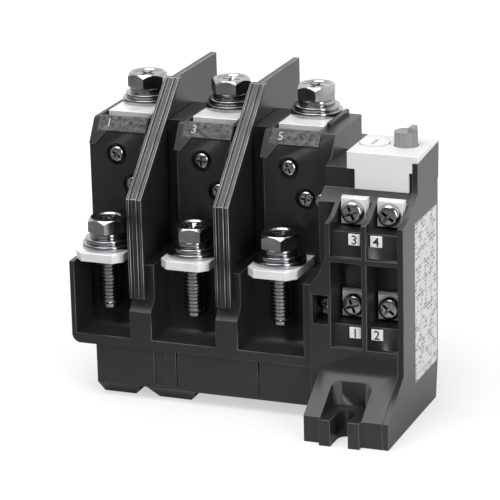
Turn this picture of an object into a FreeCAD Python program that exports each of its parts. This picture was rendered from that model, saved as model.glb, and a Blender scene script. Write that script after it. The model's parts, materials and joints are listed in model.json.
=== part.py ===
import FreeCAD, Part
import math
import os
import Sketcher

doc = FreeCAD.newDocument("OverloadRelay")
sheet = doc.addObject("Spreadsheet::Sheet", "Dims")
nodes = []
sheet_rows = []


class Dim:
    """A length of the sheet, or an expression of such lengths, with its value and its text."""

    def __init__(self, value, text):
        self.value = float(value)
        self.text = text

    def __add__(self, other):
        other = dim(other)
        return Dim(self.value + other.value, "(%s + %s)" % (self.text, other.text))

    def __sub__(self, other):
        other = dim(other)
        return Dim(self.value - other.value, "(%s - %s)" % (self.text, other.text))

    def __mul__(self, other):
        other = dim(other)
        return Dim(self.value * other.value, "(%s * %s)" % (self.text, other.text))

    def __truediv__(self, other):
        other = dim(other)
        return Dim(self.value / other.value, "(%s / %s)" % (self.text, other.text))

    def __neg__(self):
        return dim(0) - self


def dim(item):
    """A plain number becomes a Dim, and a Dim stays as it is."""
    return item if isinstance(item, Dim) else Dim(item, repr(float(item)))


def root(value):
    """The square root of an expression of sizes."""
    return Dim(math.sqrt(value.value), "sqrt(%s)" % value.text)


def size(alias, value, note):
    """One named size: a row of the sheet with its name, its number in millimetres and its meaning."""
    sheet_rows.append(alias)
    row = len(sheet_rows)
    sheet.set("A%d" % row, alias)
    sheet.set("B%d" % row, repr(float(value)))
    sheet.set("C%d" % row, note)
    sheet.setAlias("B%d" % row, alias)
    return Dim(value, "Dims." + alias)


# Overall sizes and the pole layout
heater_width = size("heater_width", 70.0, "left heater wall to the left side of the control block")
overall_depth = size("overall_depth", 77.0, "front of the screw boss to the back of the barriers")
barrier_top_z = size("barrier_top_z", 83.4, "mounting plane to the top of the barriers")
control_width = size("control_width", 26.0, "width of the control block")
pole_pitch = size("pole_pitch", 25.0, "distance between poles")
first_pole_inset = size("first_pole_inset", 8.0, "left wall to the first pole")
load_bolt_setback = size("load_bolt_setback", 26.0, "front of the foot to the load bolts")
bolt_row_spacing = size("bolt_row_spacing", 30.7, "load bolts to line bolts, along the depth")

# Heater housing
base_height = size("base_height", 14.7, "mounting plane to the underside of the heater housing")
load_seat_z = size("load_seat_z", 38.0, "height of the seat of the load plates")
line_seat_z = size("line_seat_z", 71.1, "height of the seat of the line plates")
tower_top_z = size("tower_top_z", 73.4, "height of the tower tops")
block_reach = size("block_reach", 9.0, "load bolts to the front of the terminal block")
tower_setback = size("tower_setback", 7.6, "load bolts to the front of the towers")
line_reach = size("line_reach", 9.3, "line bolts to the back of the housing")
top_reach = size("top_reach", 2.6, "line bolts to the back edge of the tower tops")
shelf_z = size("shelf_z", 66.0, "height of the shelf behind the tower tops")
facet_z = size("facet_z", 66.5, "height at which the tower front starts to slope")
facet_depth = size("facet_depth", 4.4, "depth of the sloping front facet")
tower_lip = size("tower_lip", 1.2, "wall left in front of the line plates")
tower_gap = size("tower_gap", 9.0, "width of the recess between towers")
gap_depth = size("gap_depth", 6.4, "depth of the recess between towers")
divider_width = size("divider_width", 6.4, "width of the walls between terminal pockets")
end_wall = size("end_wall", 1.4, "left wall of the first terminal pocket")
right_wall = size("right_wall", 2.5, "right wall of the third terminal pocket")
pocket_floor_z = size("pocket_floor_z", 17.5, "floor of the load terminal pockets")
pocket_depth = size("pocket_depth", 13.0, "depth of the load terminal pockets")
rear_floor_z = size("rear_floor_z", 50.0, "floor of the line terminal pockets")
ramp_low_z = size("ramp_low_z", 25.2, "foot of the ramp below each barrier")
ramp_high_z = size("ramp_high_z", 28.5, "top of the ramp below each barrier")
ramp_depth = size("ramp_depth", 3.0, "depth of the ramp below each barrier")
front_wall = size("front_wall", 5.4, "tower front to the heater chambers")
chamber_depth = size("chamber_depth", 11.8, "depth of a heater chamber")
chamber_width = size("chamber_width", 13.6, "width of a heater chamber")
roof = size("roof", 2.1, "roof of a heater chamber")
rear_wall = size("rear_wall", 2.2, "heater chamber to the line terminal pocket")
upstand_rise = size("upstand_rise", 3.5, "upstand beside a line plate, above its seat")
upstand_width = size("upstand_width", 1.2, "thickness of that upstand")
upstand_clear = size("upstand_clear", 0.2, "wide washer to that upstand")
corner_round = size("corner_round", 2.5, "rounded lower left edge of the housing")
tower_chamfer = size("tower_chamfer", 0.9, "chamfer of the towers' upright front edges")
pad_thick = size("pad_thick", 0.5, "thickness of the raised part of a tower's sloping facet")
pad_low = size("pad_low", 6.2, "pole axis to that part, at the facet's foot")
pad_high = size("pad_high", 3.5, "pole axis to that part, below the plate")

# Barriers
barrier_web = size("barrier_web", 1.8, "thickness of a barrier")
barrier_flange = size("barrier_flange", 4.3, "width of a barrier's front flange")
flange_depth = size("flange_depth", 1.6, "thickness of that flange")
barrier_bend_z = size("barrier_bend_z", 57.0, "height at which the barrier's front starts to slope")
barrier_slope = size("barrier_slope", 29.0, "depth of the sloping front of a barrier")
barrier_foot_z = size("barrier_foot_z", 29.0, "lowest point of a barrier")
barrier_foot = size("barrier_foot", 8.0, "depth of a barrier's foot in the terminal block")
barrier_shift = size("barrier_shift", 0.7, "barriers stand this much left of the middle between poles")
slot_clear = size("slot_clear", 0.1, "clearance of a barrier in its slot, each side")
groove_width = size("groove_width", 0.7, "width of the grooves in a flange")
groove_depth = size("groove_depth", 0.5, "depth of the grooves in a flange")

# Terminals and their fasteners
plate_width = size("plate_width", 14.0, "width of a load plate")
plate_thick = size("plate_thick", 2.4, "thickness of the terminal plates")
plate_front = size("plate_front", 8.5, "load bolt to the front edge of its plate")
plate_corner = size("plate_corner", 2.4, "chamfered corners of a load plate")
tail_width = size("tail_width", 6.0, "width of the tail of a load plate")
tail_shift = size("tail_shift", 0.6, "pole axis to the near edge of the tail")
line_plate_width = size("line_plate_width", 13.0, "width of a line plate")
line_plate_front = size("line_plate_front", 12.7, "line bolt to the front edge of its plate")
line_plate_back = size("line_plate_back", 7.8, "line bolt to the back edge of its plate")
shank_radius = size("shank_radius", 3.0, "radius of the terminal bolts")
bolt_hole_clear = size("bolt_hole_clear", 0.05, "radial clearance of a bolt in the holes of the plates")
bolt_length = size("bolt_length", 22.0, "length of a terminal bolt under its head")
head_height = size("head_height", 3.9, "height of a bolt head")
head_flats = size("head_flats", 10.0, "width across flats of a bolt head")
head_chamfer = size("head_chamfer", 0.6, "height of the chamfer on a bolt head")
spring_thick = size("spring_thick", 1.6, "thickness of a spring washer")
spring_radius = size("spring_radius", 5.1, "outer radius of a spring washer")
spring_gap = size("spring_gap", 0.8, "gap in a spring washer")
plain_thick = size("plain_thick", 1.3, "thickness of a plain washer")
plain_radius = size("plain_radius", 6.3, "outer radius of a plain washer")
wide_thick = size("wide_thick", 1.5, "thickness of a wide washer")
wide_radius = size("wide_radius", 7.1, "outer radius of a wide washer")
washer_clear = size("washer_clear", 0.15, "radial clearance of a bolt in its washers")

# Heater elements and the trip slider
strip_width = size("strip_width", 5.5, "width of the bimetal and heater strips")
strip_back = size("strip_back", 0.8, "strips to the back wall of the chamber")
bimetal_thick = size("bimetal_thick", 1.0, "thickness of a bimetal strip")
bimetal_shift = size("bimetal_shift", 2.0, "pole axis to the bimetal strip")
bimetal_tip_z = size("bimetal_tip_z", 27.0, "free end of a bimetal strip")
heater_thick = size("heater_thick", 1.4, "thickness of a heater strip")
heater_shift = size("heater_shift", 3.0, "pole axis to the heater strip")
strip_clear = size("strip_clear", 0.3, "clearance round a strip in the chamber roof")
slider_width = size("slider_width", 3.0, "depth of the slider bar")
slider_low_z = size("slider_low_z", 25.0, "underside of the slider bar")
slider_height = size("slider_height", 4.0, "height of the slider bar")
finger_rise = size("finger_rise", 1.0, "slider fingers above the bar")
finger_thick = size("finger_thick", 1.2, "thickness of a slider finger")
finger_gap = size("finger_gap", 0.3, "bimetal strip to its slider finger")
slide_clear = size("slide_clear", 0.2, "clearance of the slider in its guides")
slider_travel = size("slider_travel", 2.5, "travel of the slider to the trip point")

# Control block
side_cover = size("side_cover", 1.6, "thickness of the side cover")
control_wall = size("control_wall", 1.4, "left wall of the control housing")
control_front = size("control_front", 10.9, "load bolts to the front of the control block")
control_back = size("control_back", 19.2, "load bolts to the back of the control block")
control_top_z = size("control_top_z", 67.2, "top of the control housing")
relief_width = size("relief_width", 4.6, "width of the lug relief at the block's left front")
relief_low_z = size("relief_low_z", 38.6, "lowest point of the lug relief")
relief_high_z = size("relief_high_z", 47.0, "height at which the lug relief has its full width")
relief_depth = size("relief_depth", 8.4, "depth of the lug relief")
foot_top_z = size("foot_top_z", 15.7, "height at which the foot meets the control block")
foot_front_z = size("foot_front_z", 7.3, "height of the foot's front edge")
bay_floor_z = size("bay_floor_z", 21.0, "floor of the mechanism bay")
bay_front = size("bay_front", 0.4, "front wall of the lower bay, before the load bolts")
bay_back = size("bay_back", 17.2, "back wall of the bay, behind the load bolts")
bay_upper_front = size("bay_upper_front", 5.0, "front wall of the upper bay, behind the load bolts")
bay_step_z = size("bay_step_z", 55.0, "height of the step in the bay")
bay_roof = size("bay_roof", 1.8, "roof of the bay")
column_pitch = size("column_pitch", 10.0, "distance between auxiliary terminals")
column_inset = size("column_inset", 5.8, "right side to the second terminal column")
well_half = size("well_half", 4.3, "half width of a terminal well")
well_floor = size("well_floor", 1.6, "load bolts to the floor of the wells")
upper_row_z = size("upper_row_z", 57.5, "height of the upper auxiliary terminals")
lower_row_z = size("lower_row_z", 32.0, "height of the lower auxiliary terminals")
upper_sill_z = size("upper_sill_z", 53.5, "sill of the upper wells")
lower_sill_z = size("lower_sill_z", 28.0, "sill of the lower wells")
lower_head_z = size("lower_head_z", 45.4, "top of the lower wells")
upper_ledge_z = size("upper_ledge_z", 46.8, "ledge below the upper markers")
lower_ledge_z = size("lower_ledge_z", 21.9, "ledge below the lower markers")
marker_recess = size("marker_recess", 1.9, "depth of the marker recesses")
link_inset = size("link_inset", 2.95, "left side to the link terminal")
link_half = size("link_half", 2.15, "half width of the link terminal's well")
link_head_z = size("link_head_z", 36.0, "top of the link terminal's well")

# Foot of the control block
foot_inset = size("foot_inset", 2.7, "left side of the control block to the foot")
seat_half = size("seat_half", 5.6, "half width of the screw seat and its boss")
seat_back = size("seat_back", 2.9, "front of the control block to the back of the seat")
seat_round = size("seat_round", 2.4, "rounded back corners of the seat")
slot_setback = size("slot_setback", 5.8, "front of the boss to the middle of the slot's end")
boss_inset = size("boss_inset", 13.0, "right side to the middle of the screw slot")
screw_slot_radius = size("screw_slot_radius", 2.4, "half width of the screw slot")
foot_front = size("foot_front", 1.7, "screw boss stands this much before the foot")

# Setting cover, dial and reset button
cover_inset = size("cover_inset", 6.4, "left side of the control block to the setting cover")
cover_top_z = size("cover_top_z", 71.9, "top of the setting cover")
cover_front = size("cover_front", 2.0, "load bolts to the front of the setting cover")
cover_back = size("cover_back", 20.3, "load bolts to the back of the setting cover")
cover_skin = size("cover_skin", 1.4, "wall of the setting cover")
apron_left = size("apron_left", 2.1, "setting cover's left side to its apron")
apron_right = size("apron_right", 2.6, "setting cover's right side to its apron")
apron_thick = size("apron_thick", 1.2, "thickness of the apron")
apron_low_z = size("apron_low_z", 61.8, "lower edge of the apron")
side_front_z = size("side_front_z", 70.0, "front top corner of the side cover")
side_back_z = size("side_back_z", 71.3, "back top corner of the side cover")
dial_inset = size("dial_inset", 10.8, "left side of the control block to the dial")
dial_setback = size("dial_setback", 12.2, "load bolts to the dial and the reset button")
dial_radius = size("dial_radius", 4.0, "radius of the dial")
dial_clear = size("dial_clear", 0.2, "radial gap round the dial and the button")
dial_proud = size("dial_proud", 0.3, "dial above the cover")
dial_thick = size("dial_thick", 2.0, "thickness of the dial's disc")
dial_shaft_radius = size("dial_shaft_radius", 2.0, "radius of the dial's shaft")
shaft_clear = size("shaft_clear", 0.06, "radial clearance of the turning shafts")
cam_z = size("cam_z", 61.2, "underside of the cam")
cam_thick = size("cam_thick", 3.0, "thickness of the cam")
cam_radius = size("cam_radius", 3.2, "smallest radius of the cam")
cam_rise = size("cam_rise", 0.9, "rise of the cam over its turn")
button_inset = size("button_inset", 6.5, "right side to the reset button")
button_radius = size("button_radius", 3.15, "radius of the reset button")
button_top_z = size("button_top_z", 75.8, "top of the reset button")
button_tab_rise = size("button_tab_rise", 1.4, "tab on the reset button")
button_tab_width = size("button_tab_width", 1.7, "width of that tab")
groove_radius = size("groove_radius", 0.45, "radius of a grip groove in the button's side")
button_flange = size("button_flange", 0.7, "flange of the button beyond its radius")
flange_thick = size("flange_thick", 0.8, "thickness of the button's flange")
button_travel = size("button_travel", 2.5, "travel of the reset button")
stem_radius = size("stem_radius", 1.4, "radius of the button's stem")
stem_low_z = size("stem_low_z", 61.0, "lower end of the button's stem")
spring_seat = size("spring_seat", 1.0, "depth of the spring seat in the roof")
spring_wire = size("spring_wire", 0.25, "radius of the reset spring's wire")
spring_coil = size("spring_coil", 2.0, "mean radius of the reset spring")

# Mechanism in the bay
pin_radius = size("pin_radius", 1.0, "radius of the pivot pins")
hub_radius = size("hub_radius", 2.3, "radius of the pivot hubs")
lever_thick = size("lever_thick", 1.7, "thickness of the adjusting lever")
lever_gap = size("lever_gap", 0.25, "cam to adjusting lever")
adjuster_pivot_z = size("adjuster_pivot_z", 48.0, "height of the adjusting lever's pivot")
adjuster_low_z = size("adjuster_low_z", 33.0, "lower end of the adjusting lever")
adjuster_front = size("adjuster_front", 5.5, "load bolts to the adjusting lever")
adjuster_width = size("adjuster_width", 4.0, "width of the adjusting lever")
crank_inset = size("crank_inset", 6.5, "left side of the control block to the compensating lever's pin")
crank_setback = size("crank_setback", 5.5, "load bolts to the compensating lever's pin")
crank_low_z = size("crank_low_z", 25.2, "underside of the compensating lever's arms")
crank_height = size("crank_height", 3.3, "height of the compensating lever's arms")
crank_arm = size("crank_arm", 1.9, "thickness of the compensating lever's arms")
crank_push = size("crank_push", 0.3, "reach of the pushing arm beyond the rocker's middle")
crank_nose = size("crank_nose", 1.5, "slider's middle to the end of the arm that it pushes")
seat_gap = size("seat_gap", 0.3, "running gap between a lever and its seat")
rocker_setback = size("rocker_setback", 13.5, "load bolts to the rocker's pin")
rocker_pivot_z = size("rocker_pivot_z", 44.0, "height of the rocker's pin")
rocker_thick = size("rocker_thick", 2.4, "thickness of the rocker's arms")
rocker_width = size("rocker_width", 2.6, "width of the rocker")
rocker_top_z = size("rocker_top_z", 60.2, "top of the rocker")
tail_low_z = size("tail_low_z", 25.6, "lower end of the rocker's tail")
tail_thick = size("tail_thick", 1.5, "thickness of the rocker's tail")
tongue_thick = size("tongue_thick", 1.2, "thickness of a terminal's tongue")
tongue_shift = size("tongue_shift", 2.4, "terminal to its tongue")
tongue_height = size("tongue_height", 3.6, "height of a terminal's tongue")
tongue_end = size("tongue_end", 6.0, "load bolts to the end of the tongues")
bridge_thick = size("bridge_thick", 0.8, "thickness of a contact bridge")
bridge_length = size("bridge_length", 7.4, "length of a contact bridge")
bridge_height = size("bridge_height", 2.0, "height of a contact bridge")
closed_gap = size("closed_gap", 0.1, "gap of the closed contact")
open_gap = size("open_gap", 2.0, "gap of the open contact")

# Auxiliary terminals, markers and label
terminal_half = size("terminal_half", 3.7, "half width of an auxiliary terminal plate")
terminal_thick = size("terminal_thick", 1.2, "thickness of an auxiliary terminal plate")
clamp_half = size("clamp_half", 3.5, "half width of a clamp washer")
clamp_thick = size("clamp_thick", 1.0, "thickness of a clamp washer")
link_plate_half = size("link_plate_half", 1.95, "half width of the link terminal plate")
aux_head_radius = size("aux_head_radius", 3.1, "head radius of an auxiliary screw")
aux_head_height = size("aux_head_height", 2.2, "head height of an auxiliary screw")
aux_shank_radius = size("aux_shank_radius", 1.5, "shank radius of an auxiliary screw")
aux_shank_length = size("aux_shank_length", 3.0, "shank length of an auxiliary screw")
link_head_radius = size("link_head_radius", 1.9, "head radius of the link terminal's screw")
marker_width = size("marker_width", 3.2, "width of a marker tile")
marker_height = size("marker_height", 3.0, "height of a marker tile")
marker_thick = size("marker_thick", 0.6, "thickness of a marker tile")
marker_shift = size("marker_shift", 2.0, "terminal column to its marker tile")
upper_marker_z = size("upper_marker_z", 51.6, "height of the upper marker tiles")
lower_marker_z = size("lower_marker_z", 26.0, "height of the lower marker tiles")
label_low_z = size("label_low_z", 10.6, "lower edge of the side label")
label_high_z = size("label_high_z", 54.5, "upper edge of the side label")
label_front = size("label_front", 1.0, "front edge of the side label, before the load bolts")
label_back = size("label_back", 17.9, "back edge of the side label, behind the load bolts")
label_thick = size("label_thick", 0.2, "thickness of the side label")
name_plate_width = size("name_plate_width", 14.0, "width of a plate on a tower's facet")
name_plate_shift = size("name_plate_shift", 0.9, "pole axis to the middle of that plate")
name_plate_share = size("name_plate_share", 0.52, "share of the facet below that plate")
name_plate_thick = size("name_plate_thick", 0.5, "thickness of that plate")

# Screws in the tower fronts
element_head_radius = size("element_head_radius", 2.2, "head radius of an element screw")
element_head_height = size("element_head_height", 1.5, "head height of an element screw")
element_shank_radius = size("element_shank_radius", 1.2, "shank radius of an element screw")
element_shank_length = size("element_shank_length", 3.2, "shank length of an element screw")
counterbore_radius = size("counterbore_radius", 3.0, "radius of the counterbores")
counterbore_depth = size("counterbore_depth", 1.2, "depth of the counterbores")
upper_screw_z = size("upper_screw_z", 64.2, "height of the upper element screws")
lower_screw_z = size("lower_screw_z", 56.0, "height of the lower element screws")
lower_screw_shift = size("lower_screw_shift", 4.7, "pole axis to the lower element screw")
side_screw_shift = size("side_screw_shift", 2.25, "outer screw to the left side of the control block")

# Base
base_inset = size("base_inset", 6.8, "left wall of the housing to the base")
seam_shift = size("seam_shift", 2.5, "pole axis to a groove in the front of the base")
seam_width = size("seam_width", 0.45, "width of such a groove")
seam_depth = size("seam_depth", 0.4, "depth of such a groove")
base_setback = size("base_setback", 0.6, "front of the terminal block to the base")
base_low_z = size("base_low_z", 3.6, "underside of the base between its feet")
base_wall = size("base_wall", 2.0, "wall and floor of the base")
foot_width = size("foot_width", 9.4, "width of a front foot at the mounting plane")
foot_gap = size("foot_gap", 7.0, "distance between the two front feet")
foot_length = size("foot_length", 10.4, "depth of a front foot")
foot_slope = size("foot_slope", 3.2, "slope of a foot's sides and front")
rear_foot_length = size("rear_foot_length", 8.0, "depth of a rear foot")
lug_width = size("lug_width", 15.0, "width of the rear mounting lug")
lug_height = size("lug_height", 5.0, "height of the rear mounting lug")
lug_hole_radius = size("lug_hole_radius", 2.4, "radius of the hole in the lug")
lug_hole_setback = size("lug_hole_setback", 5.4, "hole to the back edge of the lug")
rib_length = size("rib_length", 6.0, "length of a slider guide rib")
pillar_radius = size("pillar_radius", 3.0, "radius of the screw pillars in the base")
base_screw_radius = size("base_screw_radius", 1.4, "shank radius of a base screw")
base_head_radius = size("base_head_radius", 2.4, "head radius of a base screw")
base_head_height = size("base_head_height", 1.4, "head height of a base screw")
base_screw_reach = size("base_screw_reach", 7.0, "base screw above the underside of the housing")
base_screw_inset = size("base_screw_inset", 6.5, "base screws to the front and back of the base")
screw_fit = size("screw_fit", 0.05, "radial clearance of a screw in its hole")
over = size("over", 1.0, "cutting allowance beyond an open face")

groove_count = 14

# Places that the sizes give
overall_width = heater_width + control_width
left = -overall_width / 2
right = overall_width / 2
front = -overall_depth / 2
back = overall_depth / 2
split = right - control_width
poles = [left + first_pole_inset + pole_pitch * count for count in range(3)]
middles = [pole + pole_pitch / 2 for pole in poles[:2]]
load_y = front + load_bolt_setback
line_y = load_y + bolt_row_spacing
bolt_hole_radius = shank_radius + bolt_hole_clear
washer_bore = shank_radius + washer_clear
block_front = load_y - block_reach
tower_front = load_y + tower_setback
facet_back = tower_front + facet_depth
top_back = line_y + top_reach
body_back = line_y + line_reach
gap_back = tower_front + gap_depth
chamber_front = tower_front + front_wall
chamber_back = chamber_front + chamber_depth
chamber_top = line_seat_z - roof
strip_y = chamber_back - strip_back - strip_width
slider_y = chamber_front + seat_gap
slider_top = slider_low_z + slider_height
bay_left = split + control_wall
bay_right = right - side_cover
bay_front_y = load_y - bay_front
bay_back_y = load_y + bay_back
bay_top = control_top_z - bay_roof
columns = [right - column_inset - column_pitch, right - column_inset]
link_x = split + link_inset
well_y = load_y - well_floor
control_front_y = load_y - control_front
cover_left = split + cover_inset
dial_x = split + dial_inset
dial_y = load_y + dial_setback
button_x = right - button_inset
tongues = [columns[0] + tongue_shift, columns[1] - tongue_shift]
rocker_x = (tongues[0] + tongues[1]) / 2
rocker_y = load_y + rocker_setback
crank_x = split + crank_inset
crank_y = load_y + crank_setback
slider_mid_y = slider_y + slider_width / 2
slider_end = crank_x - crank_arm / 2 - slide_clear
lever_x = dial_x - cam_radius - lever_gap - lever_thick
boss_x = right - boss_inset
boss_y = front + slot_setback
foot_front_y = front + foot_front
base_left = left + base_inset
base_front = block_front + base_setback


def role_plane(body, role):
    """The origin plane or axis of a body with this role."""
    return next(item for item in body.Origin.OriginFeatures if item.Role == role)


def new_body(name):
    """A body whose label names its node."""
    body = doc.addObject("PartDesign::Body", name)
    body.Label = name
    nodes.append(body)
    return body


def bind(item, path, value):
    """Ties a property to the sheet."""
    item.setExpression(path, dim(value).text)


def new_sketch(body, name, plane, offset):
    """A sketch on an origin plane of its body, moved along that plane's axis."""
    sketch = body.newObject("Sketcher::SketchObject", name)
    sketch.AttachmentSupport = (role_plane(body, plane + "_Plane"), "")
    sketch.MapMode = "FlatFace"
    bind(sketch, "AttachmentOffset.Base.z", -offset if plane == "XZ" else offset)
    return sketch


def hold(sketch, kind, number, end, value):
    """Ties one coordinate of a point to the sheet."""
    sketch.addConstraint(Sketcher.Constraint(kind, -1, 1, number, end, value.value))
    bind(sketch, "Constraints[%d]" % (sketch.ConstraintCount - 1), value)


def polygon(sketch, points):
    """A closed outline whose corners are all tied to the sheet."""
    points = [(dim(across), dim(along)) for across, along in points]
    first = sketch.GeometryCount
    spots = [FreeCAD.Vector(across.value, along.value, 0) for across, along in points]
    edges = [Part.LineSegment(start, end) for start, end in zip(spots, spots[1:] + spots[:1])]
    sketch.addGeometry(edges, False)
    count = len(points)
    for number in range(count):
        other = first + (number + 1) % count
        sketch.addConstraint(Sketcher.Constraint("Coincident", first + number, 2, other, 1))
    for number, (across, along) in enumerate(points):
        hold(sketch, "DistanceX", first + number, 1, across)
        hold(sketch, "DistanceY", first + number, 1, along)


def rectangle(sketch, low_x, low_y, high_x, high_y):
    """An upright rectangle between two corners."""
    polygon(sketch, [(low_x, low_y), (high_x, low_y), (high_x, high_y), (low_x, high_y)])


def circle(sketch, across, along, radius):
    """A circle with its middle and radius tied to the sheet."""
    across, along, radius = dim(across), dim(along), dim(radius)
    centre = FreeCAD.Vector(across.value, along.value, 0)
    number = sketch.addGeometry(Part.Circle(centre, FreeCAD.Vector(0, 0, 1), radius.value), False)
    hold(sketch, "DistanceX", number, 3, across)
    hold(sketch, "DistanceY", number, 3, along)
    sketch.addConstraint(Sketcher.Constraint("Radius", number, radius.value))
    bind(sketch, "Constraints[%d]" % (sketch.ConstraintCount - 1), radius)


def extrude(body, kind, name, plane, start, end, draw):
    """A pad or a pocket between two heights along the plane's axis."""
    start, end = dim(start), dim(end)
    sketch = new_sketch(body, name + "_sketch", plane, start)
    draw(sketch)
    feature = body.newObject("PartDesign::" + kind, name)
    feature.Profile = sketch
    rises = end.value > start.value
    bind(feature, "Length", end - start if rises else start - end)
    along_normal = rises != (plane == "XZ")
    feature.Reversed = along_normal if kind == "Pocket" else not along_normal
    return feature


def pad(body, name, plane, start, end, draw):
    return extrude(body, "Pad", name, plane, start, end, draw)


def pocket(body, name, plane, start, end, draw):
    return extrude(body, "Pocket", name, plane, start, end, draw)


def repeat_on_poles(body, features):
    """Repeats features of the first pole on the other two."""
    pattern = body.newObject("PartDesign::LinearPattern", "poles")
    pattern.Originals = features
    pattern.Direction = (role_plane(body, "X_Axis"), [""])
    pattern.Mode = "Spacing"
    pattern.Occurrences = 3
    bind(pattern, "Offset", pole_pitch)
    body.Tip = pattern
    return pattern


def edges_where(body, test):
    """Names of the edges of a body that pass a test."""
    doc.recompute()
    return ["Edge%d" % (number + 1) for number, edge in enumerate(body.Shape.Edges) if test(edge)]


def dress(body, kind, name, radius, test):
    """A fillet or a chamfer on the edges that pass a test."""
    names = edges_where(body, test)
    feature = body.newObject("PartDesign::" + kind, name)
    feature.Base = (body.Tip if body.Tip is not feature else feature.BaseFeature, names)
    bind(feature, "Radius" if kind == "Fillet" else "Size", radius)
    body.Tip = feature
    return feature


def lies_at(edge, **places):
    """True if both ends of an edge lie at the given places along the named axes."""
    ends = [vertex.Point for vertex in edge.Vertexes]
    return all(abs(getattr(end, axis) - place.value) < 0.01 for axis, place in places.items() for end in ends)


def place(item, across, along, up):
    """Ties a primitive's position to the sheet."""
    bind(item, "Placement.Base.x", across)
    bind(item, "Placement.Base.y", along)
    bind(item, "Placement.Base.z", up)


def box(name, low, high, is_node=True):
    """A block between two corners."""
    item = doc.addObject("Part::Box", name)
    item.Label = name
    bind(item, "Length", high[0] - low[0])
    bind(item, "Width", high[1] - low[1])
    bind(item, "Height", high[2] - low[2])
    place(item, *low)
    if is_node:
        nodes.append(item)
    return item


def pin(name, radius, start, length, axis):
    """A round pin from its start along X, Y or Z."""
    item = doc.addObject("Part::Cylinder", name)
    item.Label = name
    bind(item, "Radius", radius)
    bind(item, "Height", length)
    turn = {"X": (FreeCAD.Vector(0, 1, 0), 90), "Y": (FreeCAD.Vector(1, 0, 0), -90),
            "Z": (FreeCAD.Vector(0, 0, 1), 0)}[axis]
    item.Placement = FreeCAD.Placement(FreeCAD.Vector(), FreeCAD.Rotation(*turn))
    place(item, *start)
    nodes.append(item)
    return item


def pocket_limits():
    """Left and right sides of the three terminal pockets."""
    half = divider_width / 2
    lows = [left + end_wall] + [middle + half for middle in middles]
    highs = [middle - half for middle in middles] + [split - right_wall]
    return list(zip(lows, highs))


def heater_housing():
    """The moulding of the three poles: terminal block in front, towers behind, chambers inside."""
    body = new_body("heater_housing")
    outline = [(block_front, base_height), (block_front, load_seat_z), (tower_front, load_seat_z),
               (tower_front, facet_z), (facet_back, tower_top_z), (top_back, tower_top_z),
               (top_back, shelf_z), (body_back, shelf_z), (body_back, base_height)]
    pad(body, "moulding", "YZ", left, split, lambda sketch: polygon(sketch, outline))
    dress(body, "Fillet", "lower_left_edge", corner_round,
          lambda edge: lies_at(edge, x=left, z=base_height))
    tower_recesses(body)
    terminal_pockets(body)
    heater_chambers(body)
    barrier_slots(body)
    element_screw_holes(body)
    line_plate_troughs(body)
    base_screw_holes(body)
    facet_pads(body)


def facet_pads(body):
    """The raised left parts of the sloping facets, drawn on the slope itself."""
    rise = tower_top_z - facet_z
    length = root(rise * rise + facet_depth * facet_depth)
    sketch = new_sketch(body, "facet_pads_sketch", "XZ", tower_front)
    lean = math.degrees(math.atan2(facet_depth.value, rise.value))
    sketch.AttachmentOffset = FreeCAD.Placement(sketch.AttachmentOffset.Base,
                                                FreeCAD.Rotation(FreeCAD.Vector(-1, 0, 0), lean))
    bind(sketch, "AttachmentOffset.Base.y", facet_z)
    bind(sketch, "AttachmentOffset.Base.z", -tower_front)
    slant = Dim(lean, "atan(%s / %s)" % (facet_depth.text, rise.text))
    bind(sketch, "AttachmentOffset.Rotation.Angle", slant)
    plate_low = length * name_plate_share - pad_thick * 0.6
    top = length - pad_thick
    for pole in poles:
        side = pole - first_pole_inset
        plate_side = pole + name_plate_shift - name_plate_width / 2
        polygon(sketch, [(side, 0), (pole - pad_low, 0), (pole - pad_high, plate_low),
                         (plate_side, plate_low), (plate_side, top), (side, top)])
    feature = body.newObject("PartDesign::Pad", "facet_pads")
    feature.Profile = sketch
    bind(feature, "Length", pad_thick)


def tower_recesses(body):
    """The recesses between the towers, and the chamfers of their upright front edges."""
    def draw(sketch):
        for middle in middles:
            rectangle(sketch, middle - tower_gap / 2, tower_front - over, middle + tower_gap / 2, gap_back)
    pocket(body, "tower_gaps", "XY", tower_top_z, load_seat_z, draw)
    dress(body, "Chamfer", "tower_edges", tower_chamfer,
          lambda edge: lies_at(edge, y=tower_front) and abs(edge.tangentAt(edge.FirstParameter).z) > 0.9
          and edge.Vertexes[0].Point.x > left.value + 0.01)


def terminal_pockets(body):
    """The open pockets round the bolt ends: load side in front, line side at the back."""
    def draw_front(sketch):
        for low, high in pocket_limits():
            rectangle(sketch, low, block_front - over, high, block_front + pocket_depth)
    pocket(body, "load_pockets", "XY", load_seat_z, pocket_floor_z, draw_front)

    def draw_back(sketch):
        for low, high in pocket_limits():
            rectangle(sketch, low, chamber_back + rear_wall, high, body_back + over)
    pocket(body, "line_pockets", "XY", line_seat_z, rear_floor_z, draw_back)
    ramp = [(block_front - over, ramp_low_z), (block_front, ramp_low_z),
            (block_front + ramp_depth, ramp_high_z), (block_front + ramp_depth, load_seat_z + over),
            (block_front - over, load_seat_z + over)]
    for number, middle in enumerate(middles):
        pocket(body, "divider_ramp_%d" % (number + 1), "YZ", middle - divider_width / 2 - over,
               middle + divider_width / 2 + over, lambda sketch: polygon(sketch, ramp))


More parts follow.
